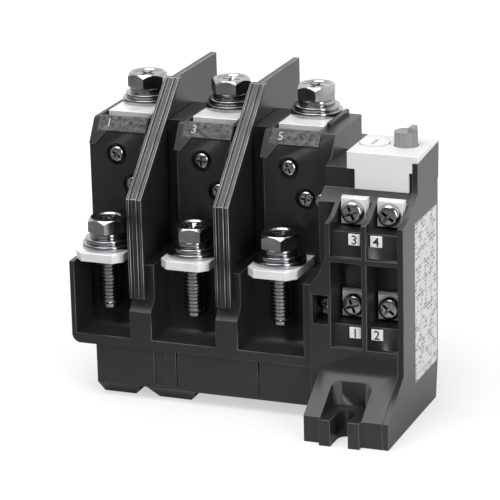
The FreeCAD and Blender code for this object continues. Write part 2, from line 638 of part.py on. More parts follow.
def heater_chambers(body):
    """The chambers from below, the slider's slot through their walls and the slots for the strips."""
    def draw_chambers(sketch):
        for pole in poles:
            rectangle(sketch, pole - chamber_width / 2, chamber_front, pole + chamber_width / 2, chamber_back)
    pocket(body, "chambers", "XY", base_height, chamber_top, draw_chambers)
    pocket(body, "slider_slot", "YZ", poles[0], split, lambda sketch: rectangle(
        sketch, slider_y - slide_clear, base_height, slider_y + slider_width + slide_clear,
        slider_top + slide_clear))

    def draw_tails(sketch):
        for pole in poles:
            near = pole + tail_shift
            rectangle(sketch, near - slide_clear, load_seat_z, near + tail_width + slide_clear,
                      load_seat_z + plate_thick + slide_clear)
    pocket(body, "tail_slots", "XZ", tower_front - over, chamber_front + over, draw_tails)

    def draw_roof(sketch):
        for pole in poles:
            rectangle(sketch, pole - bimetal_shift - bimetal_thick - strip_clear, strip_y - strip_clear,
                      pole + heater_shift + heater_thick + strip_clear, strip_y + strip_width + strip_clear)
    pocket(body, "strip_slots", "XY", line_seat_z, chamber_top - over, draw_roof)


def barrier_slots(body):
    """The slots that the barriers slide into, in the towers' walls and in the terminal block."""
    half = barrier_web / 2 + slot_clear

    def draw_rear(sketch):
        for middle in middles:
            centre = middle - barrier_shift
            rectangle(sketch, centre - half, gap_back - over, centre + half, body_back + over)
    pocket(body, "rear_slots", "XY", tower_top_z, rear_floor_z, draw_rear)

    def draw_front(sketch):
        for middle in middles:
            centre = middle - barrier_shift
            rectangle(sketch, centre - half, block_front, centre + half,
                      block_front + barrier_foot + slot_clear)
    pocket(body, "front_slots", "XY", load_seat_z, barrier_foot_z, draw_front)


def element_screw_places():
    """Places of the small screws in the tower fronts, across and up."""
    upper = [(pole, upper_screw_z) for pole in poles]
    lower = [(pole + lower_screw_shift, lower_screw_z) for pole in poles]
    return upper + lower + [(split - side_screw_shift, lower_screw_z)]


def element_screw_holes(body):
    """Counterbored holes for the small screws in the tower fronts; the outer screw sits on the face."""
    pocket(body, "counterbores", "XZ", tower_front, tower_front + counterbore_depth,
           lambda sketch: [circle(sketch, across, up, counterbore_radius)
                           for across, up in element_screw_places()[:-1]])
    pocket(body, "screw_holes", "XZ", tower_front, tower_front + counterbore_depth + element_shank_length,
           lambda sketch: [circle(sketch, across, up, element_shank_radius + screw_fit)
                           for across, up in element_screw_places()])


def line_plate_troughs(body):
    """The troughs that hold the line plates, each with an upstand at its right."""
    half = chamber_width / 2

    def draw(sketch):
        for pole in poles:
            rectangle(sketch, pole - half, facet_back + tower_lip, pole + half, top_back + over)
    pocket(body, "troughs", "XY", tower_top_z, line_seat_z, draw)

    def draw_upstands(sketch):
        for pole in poles:
            near = pole + wide_radius + upstand_clear
            rectangle(sketch, near, line_y - line_plate_front, near + upstand_width, top_back)
    pad(body, "upstands", "XY", line_seat_z, line_seat_z + upstand_rise, draw_upstands)


def base_screw_places():
    """Places of the four screws that hold the base to the heater housing."""
    return [(middle, along) for middle in middles
            for along in (base_front + base_screw_inset, body_back - base_screw_inset)]


def base_screw_holes(body):
    """The holes that the base screws turn into."""
    pocket(body, "base_screw_holes", "XY", base_height, base_height + base_screw_reach + screw_fit,
           lambda sketch: [circle(sketch, across, along, base_screw_radius + screw_fit)
                           for across, along in base_screw_places()])


def barrier(name, middle):
    """An insulating barrier: a web with a grooved flange along its front edge."""
    body = new_body(name)
    centre = middle - barrier_shift
    slope_back = block_front + barrier_slope
    outline = [(block_front, barrier_foot_z), (block_front, barrier_bend_z), (slope_back, barrier_top_z),
               (back, barrier_top_z), (back, rear_floor_z), (gap_back, rear_floor_z),
               (gap_back, load_seat_z), (block_front + barrier_foot, load_seat_z),
               (block_front + barrier_foot, barrier_foot_z)]
    pad(body, "web", "YZ", centre - barrier_web / 2, centre + barrier_web / 2,
        lambda sketch: polygon(sketch, outline))

    def strip(depth):
        return [(block_front, barrier_foot_z), (block_front, barrier_bend_z),
                (slope_back, barrier_top_z), (slope_back + depth * 1.4, barrier_top_z),
                (block_front + depth, barrier_bend_z - depth * 0.4), (block_front + depth, barrier_foot_z)]
    pad(body, "flange", "YZ", centre - barrier_flange / 2, centre + barrier_flange / 2,
        lambda sketch: polygon(sketch, strip(flange_depth)))
    for number, side in enumerate((-1, 1)):
        groove = centre + barrier_flange / 4 * side
        pocket(body, "groove_%d" % (number + 1), "YZ", groove - groove_width / 2, groove + groove_width / 2,
               lambda sketch: polygon(sketch, strip(groove_depth)))


def load_plate(number, pole):
    """A load terminal plate: a broad head under the bolt and a tail into the heater chamber."""
    body = new_body("load_plate_%d" % number)
    half = plate_width / 2
    front_edge = load_y - plate_front
    tail = pole + tail_shift
    outline = [(pole - half + plate_corner, front_edge), (pole + half - plate_corner, front_edge),
               (pole + half, front_edge + plate_corner), (pole + half, tower_front),
               (tail + tail_width, tower_front), (tail + tail_width, strip_y + strip_width),
               (tail, strip_y + strip_width), (tail, tower_front),
               (pole - half, tower_front), (pole - half, front_edge + plate_corner)]
    pad(body, "plate", "XY", load_seat_z, load_seat_z + plate_thick, lambda sketch: polygon(sketch, outline))
    pocket(body, "bolt_hole", "XY", load_seat_z + plate_thick, load_seat_z,
           lambda sketch: circle(sketch, pole, load_y, bolt_hole_radius))


def line_plate(number, pole):
    """A line terminal plate over the back of its tower."""
    body = new_body("line_plate_%d" % number)
    half = line_plate_width / 2
    pad(body, "plate", "XY", line_seat_z, line_seat_z + plate_thick, lambda sketch: rectangle(
        sketch, pole - half, line_y - line_plate_front, pole + half, line_y + line_plate_back))
    pocket(body, "bolt_hole", "XY", line_seat_z + plate_thick, line_seat_z,
           lambda sketch: circle(sketch, pole, line_y, bolt_hole_radius))


def bolt_rows():
    """The two rows of terminal bolts: place along the depth and top of the plate under them."""
    return [(load_y, load_seat_z + plate_thick), (line_y, line_seat_z + plate_thick)]


def washers(name, low, thick, radius, gap=None):
    """Six washers of one kind, three on each row; a gap makes them spring washers."""
    body = new_body(name)
    features = []
    for number, (along, seat) in enumerate(bolt_rows()):
        bottom = seat + low

        def draw(sketch):
            circle(sketch, poles[0], along, radius)
            circle(sketch, poles[0], along, washer_bore)
        features.append(pad(body, "ring_%d" % (number + 1), "XY", bottom, bottom + thick, draw))
        if gap is not None:
            inner, outer = poles[0] + washer_bore / 2, poles[0] + radius + over
            features.append(pocket(
                body, "gap_%d" % (number + 1), "XY", bottom + thick, bottom,
                lambda sketch: rectangle(sketch, inner, along - gap / 2, outer, along + gap / 2)))
    repeat_on_poles(body, features)


def hexagon(across, along, flats):
    """Corners of a hexagon with two corners on the line through the poles."""
    reach = flats / math.sqrt(3)
    half = flats / 2
    return [(across + reach, along), (across + reach / 2, along + half), (across - reach / 2, along + half),
            (across - reach, along), (across - reach / 2, along - half), (across + reach / 2, along - half)]


def terminal_bolts(name, along, seat):
    """Three hexagon head bolts with their points in the open pockets."""
    body = new_body(name)
    under = seat + wide_thick + plain_thick + spring_thick
    top = under + head_height
    pole = poles[0]
    head = pad(body, "head", "XY", under, top,
               lambda sketch: polygon(sketch, hexagon(pole, along, head_flats)))
    shank = pad(body, "shank", "XY", under - bolt_length, under + over,
                lambda sketch: circle(sketch, pole, along, shank_radius))
    sketch = new_sketch(body, "chamfer_sketch", "XZ", along)
    bind(sketch, "AttachmentOffset.Base.x", pole)
    corner = head_flats / math.sqrt(3)
    polygon(sketch, [(head_flats / 2, top), (corner + over, top - head_chamfer * 1.6), (corner + over, top)])
    chamfer = body.newObject("PartDesign::Groove", "chamfer")
    chamfer.Profile = sketch
    chamfer.ReferenceAxis = (sketch, ["V_Axis"])
    chamfer.Angle = 360
    repeat_on_poles(body, [head, shank, chamfer])


def element_screws():
    """The small round-headed screws in the tower fronts."""
    body = new_body("element_screws")
    seat = tower_front + counterbore_depth
    flush = element_screw_places()[-1]

    pad(body, "heads", "XZ", seat, seat - element_head_height,
        lambda sketch: [circle(sketch, across, up, element_head_radius)
                        for across, up in element_screw_places()[:-1]])
    pad(body, "outer_head", "XZ", tower_front, tower_front - element_head_height,
        lambda sketch: circle(sketch, *flush, element_head_radius))
    pad(body, "shanks", "XZ", seat - over / 2, seat + element_shank_length - screw_fit,
        lambda sketch: [circle(sketch, across, up, element_shank_radius)
                        for across, up in element_screw_places()[:-1]])
    pad(body, "outer_shank", "XZ", tower_front - over / 2, seat + element_shank_length - screw_fit,
        lambda sketch: circle(sketch, *flush, element_shank_radius))


def heater_elements(number, pole):
    """One pole's bimetal strip and its heater strip, both hanging from the line plate."""
    bimetal_right = pole - bimetal_shift
    box("bimetal_%d" % number, (bimetal_right - bimetal_thick, strip_y, bimetal_tip_z),
        (bimetal_right, strip_y + strip_width, line_seat_z))
    body = new_body("heater_%d" % number)
    low = load_seat_z + plate_thick
    near = pole + heater_shift
    foot = [(pole + tail_shift, low), (near + heater_thick, low), (near + heater_thick, line_seat_z),
            (near, line_seat_z), (near, low + heater_thick), (pole + tail_shift, low + heater_thick)]
    pad(body, "strip", "XZ", strip_y, strip_y + strip_width, lambda sketch: polygon(sketch, foot))


def trip_slider():
    """The bar that the three bimetal strips push, with a finger beside each and a nose at its end."""
    body = new_body("trip_slider")
    nose = slider_width / 4
    low_x = poles[0] - bimetal_shift + finger_gap
    pad(body, "bar", "XY", slider_low_z, slider_top, lambda sketch: rectangle(
        sketch, low_x, slider_y, slider_end - nose, slider_y + slider_width))
    pad(body, "nose", "XY", slider_low_z, slider_top,
        lambda sketch: circle(sketch, slider_end - nose, slider_mid_y, nose))

    def draw(sketch):
        for pole in poles:
            near = pole - bimetal_shift + finger_gap
            rectangle(sketch, near, slider_y + slider_width / 2, near + finger_thick, strip_y + strip_width)
    pad(body, "fingers", "XY", slider_low_z, slider_top + finger_rise, draw)


def control_outline(top):
    """The side outline of the control block, foot included, with the given corners at its top."""
    foot_y = foot_front_y
    return [(control_front_y, foot_top_z), (foot_y, foot_front_z), (foot_y, 0),
            (load_y + control_back - 2.2, 0), (load_y + control_back - 0.5, base_height - 4.1),
            (load_y + control_back, bay_step_z - 1), (load_y + control_back, control_top_z - 6.2),
            (load_y + cover_back - 0.5, control_top_z - 5.2), *top,
            (load_y + cover_front, apron_low_z),
            (load_y - control_front + 4.2, bay_step_z + 1.8), (control_front_y, bay_step_z + 1)]


def control_housing():
    """The housing of the auxiliary contacts and the trip mechanism, with the front foot."""
    body = new_body("control_housing")
    top = [(load_y + cover_back, control_top_z), (load_y + cover_front + apron_thick, control_top_z),
           (load_y + cover_front + apron_thick, apron_low_z)]
    pad(body, "moulding", "YZ", split, bay_right, lambda sketch: polygon(sketch, control_outline(top)))
    bay = [(bay_front_y, bay_floor_z), (bay_back_y, bay_floor_z), (bay_back_y, bay_top),
           (load_y + bay_upper_front, bay_top), (load_y + bay_upper_front, bay_step_z),
           (bay_front_y, bay_step_z)]
    pocket(body, "bay", "YZ", bay_right, bay_left, lambda sketch: polygon(sketch, bay))
    terminal_wells(body)
    terminal_openings(body)
    pocket(body, "slider_window", "YZ", split, bay_left + over, lambda sketch: rectangle(
        sketch, slider_y - slide_clear, slider_low_z - slide_clear, slider_y + slider_width + slide_clear,
        slider_top + slide_clear))
    pocket(body, "spring_seat", "XY", control_top_z, control_top_z - spring_seat,
           lambda sketch: circle(sketch, button_x, dial_y, button_radius + button_flange + dial_clear))
    roof_holes(body)
    lug_relief(body)
    foot(body)


def terminal_wells(body):
    """The wells of the auxiliary terminals and the recesses of their markers."""
    def wells(low, high):
        def draw(sketch):
            for column in columns:
                rectangle(sketch, column - well_half, low, column + well_half, high)
        return draw
    before = control_front_y - over
    pocket(body, "upper_wells", "XZ", before, well_y, wells(upper_sill_z, apron_low_z + over))
    pocket(body, "lower_wells", "XZ", before, well_y, wells(lower_sill_z, lower_head_z))
    shelf = control_front_y + marker_recess
    pocket(body, "upper_recesses", "XZ", before, shelf, wells(upper_ledge_z, upper_sill_z))
    pocket(body, "lower_recesses", "XZ", before, shelf, wells(lower_ledge_z, lower_sill_z))
    pocket(body, "link_well", "XZ", before, well_y, lambda sketch: rectangle(
        sketch, link_x - link_half, lower_sill_z, link_x + link_half, link_head_z))


def terminal_openings(body):
    """The slots for the tongues and the holes for the screws behind the wells."""
    through = load_y + bay_upper_front + over
    half_thick = tongue_thick / 2 + slot_clear
    half_height = tongue_height / 2 + slot_clear

    def draw_slots(sketch):
        for row in (upper_row_z, lower_row_z):
            for tongue in tongues:
                rectangle(sketch, tongue - half_thick, row - half_height, tongue + half_thick,
                          row + half_height)
    pocket(body, "tongue_slots", "XZ", well_y, through, draw_slots)

    def draw_holes(sketch):
        for across, row, _ in aux_places():
            circle(sketch, across, row, aux_shank_radius + screw_fit)
    pocket(body, "screw_holes", "XZ", well_y, well_y + aux_shank_length, draw_holes)


def roof_holes(body):
    """The bearings of the dial's shaft and of the button's stem."""
    def draw(sketch):
        circle(sketch, dial_x, dial_y, dial_shaft_radius + shaft_clear)
        circle(sketch, button_x, dial_y, stem_radius + shaft_clear)
    pocket(body, "roof_holes", "XY", control_top_z, bay_top, draw)


def lug_relief(body):
    """The relief in the left front of the block, beside the third load terminal."""
    side = split + relief_width
    rise = relief_high_z - relief_low_z
    outline = [(split - over, relief_low_z), (split + relief_width * 0.05, relief_low_z),
               (split + relief_width * 0.5, relief_low_z + rise * 0.33),
               (split + relief_width * 0.87, relief_low_z + rise * 0.72), (side, relief_high_z),
               (side, apron_low_z + over), (split - over, apron_low_z + over)]
    pocket(body, "lug_relief", "XZ", control_front_y - over, control_front_y + relief_depth,
           lambda sketch: polygon(sketch, outline))


def foot(body):
    """The screw seat in the sloping foot, with its boss and the slot that is open to the front."""
    pocket(body, "foot_side", "XY", foot_top_z + over, 0, lambda sketch: rectangle(
        sketch, split - over, foot_front_y - over, split + foot_inset, control_front_y))
    pad(body, "screw_boss", "XY", 0, foot_front_z, lambda sketch: rectangle(
        sketch, boss_x - seat_half, front, boss_x + seat_half, foot_front_y + over))
    seat_end = control_front_y - seat_back
    pocket(body, "screw_seat", "XY", foot_top_z + over, foot_front_z, lambda sketch: rectangle(
        sketch, boss_x - seat_half, front - over, boss_x + seat_half, seat_end))
    dress(body, "Fillet", "seat_corners", seat_round,
          lambda edge: lies_at(edge, y=seat_end) and abs(edge.tangentAt(edge.FirstParameter).z) > 0.9)
    pocket(body, "slot_end", "XY", 0, foot_front_z + over,
           lambda sketch: circle(sketch, boss_x, boss_y, screw_slot_radius))
    pocket(body, "slot_mouth", "XY", 0, foot_front_z + over, lambda sketch: rectangle(
        sketch, boss_x - screw_slot_radius, front - over, boss_x + screw_slot_radius, boss_y))


def control_side_cover():
    """The cover that closes the control housing's right side, with a shallow bed for the label."""
    body = new_body("control_side_cover")
    top = [(load_y + cover_back, side_back_z), (load_y + cover_front, side_front_z)]
    pad(body, "plate", "YZ", bay_right, right, lambda sketch: polygon(sketch, control_outline(top)))
    pocket(body, "label_bed", "YZ", right, right - label_thick, lambda sketch: rectangle(
        sketch, load_y - label_front, label_low_z, load_y + label_back, label_high_z))
    box("side_label", (right - label_thick, load_y - label_front, label_low_z),
        (right, load_y + label_back, label_high_z))


def setting_cover():
    """The cap over the control block: hollow, rebated over the side cover, with an apron and two holes."""
    body = new_body("setting_cover")
    front_y = load_y + cover_front
    back_y = load_y + cover_back
    pad(body, "cap", "XY", control_top_z, cover_top_z,
        lambda sketch: rectangle(sketch, cover_left, front_y, right, back_y))
    pocket(body, "hollow", "XY", control_top_z, cover_top_z - cover_skin, lambda sketch: rectangle(
        sketch, cover_left + cover_skin, front_y + cover_skin, bay_right - cover_skin / 2,
        back_y - cover_skin))
    pocket(body, "side_rebate", "YZ", bay_right, right, lambda sketch: polygon(sketch, [
        (front_y, control_top_z), (back_y, control_top_z), (back_y, side_back_z), (front_y, side_front_z)]))
    pad(body, "apron", "XZ", front_y + apron_thick, front_y, lambda sketch: rectangle(
        sketch, cover_left + apron_left, apron_low_z, right - apron_right, control_top_z + over))

    def draw(sketch):
        circle(sketch, dial_x, dial_y, dial_radius + dial_clear)
        circle(sketch, button_x, dial_y, button_radius + dial_clear)
    pocket(body, "holes", "XY", cover_top_z, cover_top_z - cover_skin - over, draw)


def setting_dial():
    """The current setting dial with its shaft and a slot for a screwdriver."""
    body = new_body("setting_dial")
    top = cover_top_z + dial_proud
    pad(body, "disc", "XY", top - dial_thick, top, lambda sketch: circle(sketch, dial_x, dial_y, dial_radius))
    pad(body, "shaft", "XY", cam_z, top - dial_thick + over,
        lambda sketch: circle(sketch, dial_x, dial_y, dial_shaft_radius))
    slot_half, slot_long = dial_proud * 1.5, dial_radius * 0.7
    pocket(body, "slot", "XY", top, top - dial_thick / 2, lambda sketch: rectangle(
        sketch, dial_x - slot_half, dial_y - slot_long, dial_x + slot_half, dial_y + slot_long))


def cam_outline(turns):
    """Points of the cam: a steady rise over three quarters of a turn and a quick fall after it."""
    points = []
    quarter = turns // 4
    for step in range(turns):
        share = step / (3 * quarter) if step <= 3 * quarter else (turns - step) / quarter
        radius = cam_radius.value + cam_rise.value * share
        angle = math.pi - 2 * math.pi * step / turns
        points.append(FreeCAD.Vector(radius * math.cos(angle), radius * math.sin(angle), 0))
    return points


def setting_cam():
    """The cam on the dial's shaft."""
    curve = Part.BSplineCurve()
    curve.interpolate(cam_outline(24), PeriodicFlag=True)
    face = Part.Face(Part.Wire(curve.toShape()))
    bore = Part.makeCylinder(dial_shaft_radius.value + shaft_clear.value, cam_thick.value)
    cam = doc.addObject("Part::Feature", "setting_cam")
    cam.Label = "setting_cam"
    cam.Shape = face.extrude(FreeCAD.Vector(0, 0, cam_thick.value)).cut(bore)
    cam.Placement = FreeCAD.Placement(FreeCAD.Vector(), FreeCAD.Rotation())
    place(cam, dial_x, dial_y, cam_z)
    nodes.append(cam)


def adjusting_lever():
    """The lever that follows the cam, on a pin across the bay."""
    body = new_body("adjusting_lever")
    low_y = load_y + adjuster_front
    middle_x = lever_x + lever_thick / 2
    pad(body, "arm", "YZ", lever_x, lever_x + lever_thick, lambda sketch: polygon(sketch, [
        (low_y, adjuster_low_z), (low_y + adjuster_width, adjuster_low_z),
        (low_y + adjuster_width, cam_z - cam_thick), (dial_y + dial_shaft_radius, cam_z - cam_thick),
        (dial_y + dial_shaft_radius, cam_z + cam_thick), (low_y, cam_z + cam_thick)]))
    pad(body, "hub", "XZ", low_y, low_y + adjuster_width,
        lambda sketch: circle(sketch, middle_x, adjuster_pivot_z, hub_radius))
    pocket(body, "bore", "XZ", low_y, low_y + adjuster_width,
           lambda sketch: circle(sketch, middle_x, adjuster_pivot_z, pin_radius + shaft_clear))
    pin("adjusting_pin", pin_radius, (middle_x, bay_front_y, adjuster_pivot_z),
        bay_back_y - bay_front_y, "Y")


def compensating_lever():
    """The bell crank between slider and rocker, on an upright pin."""
    body = new_body("compensating_lever")
    half = crank_arm / 2
    top = crank_low_z + crank_height
    pad(body, "hub", "XY", bay_floor_z + seat_gap, top,
        lambda sketch: circle(sketch, crank_x, crank_y, hub_radius))
    pad(body, "pushed_arm", "XY", crank_low_z, top, lambda sketch: rectangle(
        sketch, crank_x - half, crank_y, crank_x + half, slider_mid_y + crank_nose))
    pad(body, "pushing_arm", "XY", crank_low_z, top, lambda sketch: rectangle(
        sketch, crank_x, crank_y - half, rocker_x + crank_push, crank_y + half))
    pocket(body, "bore", "XY", top, bay_floor_z + seat_gap,
           lambda sketch: circle(sketch, crank_x, crank_y, pin_radius + shaft_clear))
    pin("lever_pin", pin_radius, (crank_x, crank_y, bay_floor_z), top - bay_floor_z + seat_gap, "Z")


def contact_rocker():
    """The rocker that works both contact bridges, with a tail in front of the compensating lever."""
    body = new_body("contact_rocker")
    low_x = rocker_x - rocker_width / 2
    high_x = rocker_x + rocker_width / 2
    half = rocker_thick / 2
    arm_front = rocker_y - half
    arm_back = rocker_y + half
    step = bridge_height / 2
    closed = load_y + tongue_end + closed_gap + bridge_thick
    opened = load_y + tongue_end + open_gap + bridge_thick
    tail_back = crank_y - crank_arm / 2 - seat_gap
    tail_top = lower_row_z - step
    outline = [(arm_back, rocker_top_z), (arm_front, rocker_top_z), (arm_front, upper_row_z + step),
               (closed, upper_row_z + step), (closed, upper_row_z - step), (arm_front, upper_row_z - step),
               (arm_front, lower_row_z + step), (opened, lower_row_z + step), (opened, tail_top),
               (tail_back - tail_thick, tail_top), (tail_back - tail_thick, tail_low_z),
               (tail_back, tail_low_z), (tail_back, tail_top - tail_thick), (arm_back, tail_top - tail_thick)]
    pad(body, "arms", "YZ", low_x, high_x, lambda sketch: polygon(sketch, outline))
    pad(body, "hub", "YZ", low_x, high_x, lambda sketch: circle(sketch, rocker_y, rocker_pivot_z, hub_radius))
    pocket(body, "bore", "YZ", high_x, low_x,
           lambda sketch: circle(sketch, rocker_y, rocker_pivot_z, pin_radius + shaft_clear))
    pin("rocker_pin", pin_radius, (bay_left, rocker_y, rocker_pivot_z), bay_right - bay_left, "X")
    for name, row, face in (("nc_bridge", upper_row_z, closed), ("no_bridge", lower_row_z, opened)):
        box(name, (rocker_x - bridge_length / 2, face - bridge_thick, row - step),
            (rocker_x + bridge_length / 2, face, row + step))


def aux_places():
    """Places of the auxiliary screws, across and up, with the half width of their plates."""
    places = [(column, row, terminal_half) for row in (upper_row_z, lower_row_z) for column in columns]
    return places + [(link_x, lower_row_z, link_plate_half)]


def aux_terminals():
    """The auxiliary terminal plates; all but the link terminal have a tongue into the bay."""
    names = ["nc_terminal_left", "nc_terminal_right", "no_terminal_left", "no_terminal_right",
             "link_terminal"]
    for name, (across, row, half), tongue in zip(names, aux_places(), tongues * 2 + [None]):
        body = new_body(name)
        pad(body, "plate", "XZ", well_y, well_y - terminal_thick, lambda sketch: rectangle(
            sketch, across - half, row - terminal_half, across + half, row + terminal_half))
        if tongue is not None:
            pad(body, "tongue", "XZ", well_y - terminal_thick / 2, load_y + tongue_end,
                lambda sketch: rectangle(sketch, tongue - tongue_thick / 2, row - tongue_height / 2,
                                         tongue + tongue_thick / 2, row + tongue_height / 2))
        pocket(body, "screw_hole", "XZ", well_y - terminal_thick, well_y,
               lambda sketch: circle(sketch, across, row, aux_shank_radius + screw_fit))


def aux_screws():
    """The auxiliary terminals' screws and their square clamp washers."""
    screws = new_body("aux_screws")
    plate_face = well_y - terminal_thick
    clamp_face = plate_face - clamp_thick

    def heads(sketch):
        for across, row, half in aux_places():
            radius = aux_head_radius if half is terminal_half else link_head_radius
            circle(sketch, across, row, radius)
    pad(screws, "heads", "XZ", clamp_face, clamp_face - aux_head_height, heads)
    pad(screws, "shanks", "XZ", clamp_face - over, well_y + aux_shank_length / 3,
        lambda sketch: [circle(sketch, across, row, aux_shank_radius) for across, row, _ in aux_places()])
    clamps = new_body("aux_clamps")
    trim = terminal_half - clamp_half
    pad(clamps, "clamps", "XZ", plate_face, clamp_face,
        lambda sketch: [rectangle(sketch, across - half + trim, row - clamp_half, across + half - trim,
                                  row + clamp_half) for across, row, half in aux_places()])
    pocket(clamps, "holes", "XZ", clamp_face, plate_face,
           lambda sketch: [circle(sketch, across, row, aux_shank_radius + screw_fit)
                           for across, row, _ in aux_places()])


def marker_tiles():
    """Four marker tiles on the recessed fronts below the wells."""
    body = new_body("marker_tiles")
    face = control_front_y + marker_recess

    def draw(sketch):
        for row in (upper_marker_z, lower_marker_z):
            for across in (columns[0] + marker_shift, columns[1] - marker_shift):
                rectangle(sketch, across - marker_width / 2, row - marker_height / 2,
                          across + marker_width / 2, row + marker_height / 2)
    pad(body, "tiles", "XZ", face, face - marker_thick, draw)


def name_plates():
    """A thin blank plate on the upper part of each tower's sloping facet."""
    body = new_body("name_plates")
    rise = tower_top_z - facet_z
    low_y = tower_front + facet_depth * name_plate_share
    low_z = facet_z + rise * name_plate_share
    outline = [(low_y, low_z), (facet_back, tower_top_z), (facet_back, tower_top_z + name_plate_thick),
               (low_y - name_plate_thick, low_z + name_plate_thick / 4), (low_y - name_plate_thick, low_z)]
    low_x = poles[0] + name_plate_shift - name_plate_width / 2
    plate = pad(body, "plate", "YZ", low_x, low_x + name_plate_width,
                lambda sketch: polygon(sketch, outline))
    repeat_on_poles(body, [plate])


def reset_button():
    """The reset button: a cap with a side tab, a flange under the cover and a stem into the bay."""
    body = new_body("reset_button")
    flange_top = cover_top_z - cover_skin - seat_gap
    pad(body, "cap", "XY", flange_top - flange_thick, button_top_z,
        lambda sketch: circle(sketch, button_x, dial_y, button_radius))
    pad(body, "flange", "XY", flange_top - flange_thick, flange_top,
        lambda sketch: circle(sketch, button_x, dial_y, button_radius + button_flange))
    spring_room = spring_coil + spring_wire + shaft_clear
    pocket(body, "spring_room", "XY", flange_top - flange_thick, button_top_z - cover_skin,
           lambda sketch: circle(sketch, button_x, dial_y, spring_room))
    pad(body, "stem", "XY", stem_low_z, button_top_z - over / 2,
        lambda sketch: circle(sketch, button_x, dial_y, stem_radius))
    high_x = button_x + button_radius
    pad(body, "tab", "XY", button_top_z, button_top_z + button_tab_rise, lambda sketch: rectangle(
        sketch, high_x - button_tab_width * 1.25, dial_y - button_tab_width,
        high_x - button_tab_width / 4, dial_y + button_tab_width))
    radius = button_radius + groove_radius / 2

    def draw(sketch):
        for step in range(groove_count):
            angle = 2 * math.pi * (step + 0.5) / groove_count
            across, along = math.cos(angle), math.sin(angle)
            circle(sketch, button_x + radius * across, dial_y + radius * along, groove_radius)
    pocket(body, "grooves", "XY", button_top_z, cover_top_z, draw)


def reset_spring():
    """The coil spring between the roof and the button's cap."""
    body = new_body("reset_spring")
    low = control_top_z - spring_seat + spring_wire
    rise = button_top_z - cover_skin - spring_wire - low
    sketch = new_sketch(body, "wire_sketch", "XZ", dial_y)
    bind(sketch, "AttachmentOffset.Base.x", button_x)
    circle(sketch, spring_coil, low, spring_wire)
    coil = body.newObject("PartDesign::AdditiveHelix", "coil")
    coil.Profile = sketch
    coil.ReferenceAxis = (sketch, ["V_Axis"])
    coil.Mode = "height-turns-angle"
    bind(coil, "Height", rise)
    coil.Turns = 4
    coil.Angle = 0
    body.Tip = coil


def base_plate():
    """The lower moulding: a tray with feet, a rear lug, guide ribs and screw pillars."""
    body = new_body("base_plate")
    pad(body, "tray", "XY", base_low_z, base_height,
        lambda sketch: rectangle(sketch, base_left, base_front, split, body_back))
    pocket(body, "hollow", "XY", base_height, base_low_z + base_wall, lambda sketch: rectangle(
        sketch, base_left + base_wall, base_front + base_wall, split - base_wall, body_back - base_wall))
    front_seams(body)
    feet(body)
    pad(body, "rear_lug", "XY", 0, lug_height,
        lambda sketch: rectangle(sketch, base_left, body_back - over, base_left + lug_width, back))
    pocket(body, "lug_hole", "XY", 0, lug_height, lambda sketch: circle(
        sketch, base_left + lug_width / 2, back - lug_hole_setback, lug_hole_radius))

    def draw_ribs(sketch):
        for middle in middles:
            rectangle(sketch, middle - rib_length / 2, slider_y - slide_clear / 2, middle + rib_length / 2,
                      slider_y + slider_width + slide_clear / 2)
    pad(body, "guide_ribs", "XY", base_low_z + over, slider_low_z - slide_clear, draw_ribs)
    places = base_screw_places()
    pad(body, "pillars", "XY", base_low_z + over, base_height,
        lambda sketch: [circle(sketch, across, along, pillar_radius) for across, along in places])
    pocket(body, "screw_holes", "XY", base_height, base_low_z,
           lambda sketch: [circle(sketch, across, along, base_screw_radius + screw_fit)
                           for across, along in places])
    pocket(body, "head_recesses", "XY", base_low_z, base_low_z + base_head_height,
           lambda sketch: [circle(sketch, across, along, base_head_radius + screw_fit)
                           for across, along in places])


def front_seams(body):
    """Two upright grooves and a shallow flute in the front of the base."""
    def draw(sketch):
        for across, width in ((poles[1] - seam_shift, seam_width), (poles[2] - seam_shift * 1.5, seam_width),
                              (poles[1] - seam_shift * 3, seam_width * 7)):
            rectangle(sketch, across - width / 2, base_low_z + over, across + width / 2, base_height)
    pocket(body, "front_seams", "XZ", base_front, base_front + seam_depth, draw)


def feet(body):
    """Two sloping front feet and two rear feet, down to the mounting plane."""
    low = base_left + foot_slope / 5
    outlines = []
    for number in range(2):
        start = low + (foot_width + foot_gap) * number
        outlines.append([(start, 0), (start + foot_width, 0),
                         (start + foot_width + foot_slope, base_low_z + over),
                         (start - (foot_slope if number else foot_slope / 5), base_low_z + over)])
    pad(body, "front_feet", "XZ", base_front, base_front + foot_length,
        lambda sketch: [polygon(sketch, outline) for outline in outlines])
    bevel = [(base_front, 0), (base_front + foot_slope, 0), (base_front, base_low_z)]
    pocket(body, "foot_bevel", "YZ", base_left, split, lambda sketch: polygon(sketch, bevel))

    def draw(sketch):
        for low_x in (base_left, split - foot_width):
            rectangle(sketch, low_x, body_back - rear_foot_length, low_x + foot_width, body_back)
    pad(body, "rear_feet", "XY", 0, base_low_z + over, draw)


def base_screws():
    """The four screws that hold the base to the heater housing."""
    body = new_body("base_screws")
    places = base_screw_places()
    pad(body, "heads", "XY", base_low_z, base_low_z + base_head_height,
        lambda sketch: [circle(sketch, across, along, base_head_radius) for across, along in places])
    pad(body, "shanks", "XY", base_low_z + over, base_height + base_screw_reach,
        lambda sketch: [circle(sketch, across, along, base_screw_radius) for across, along in places])


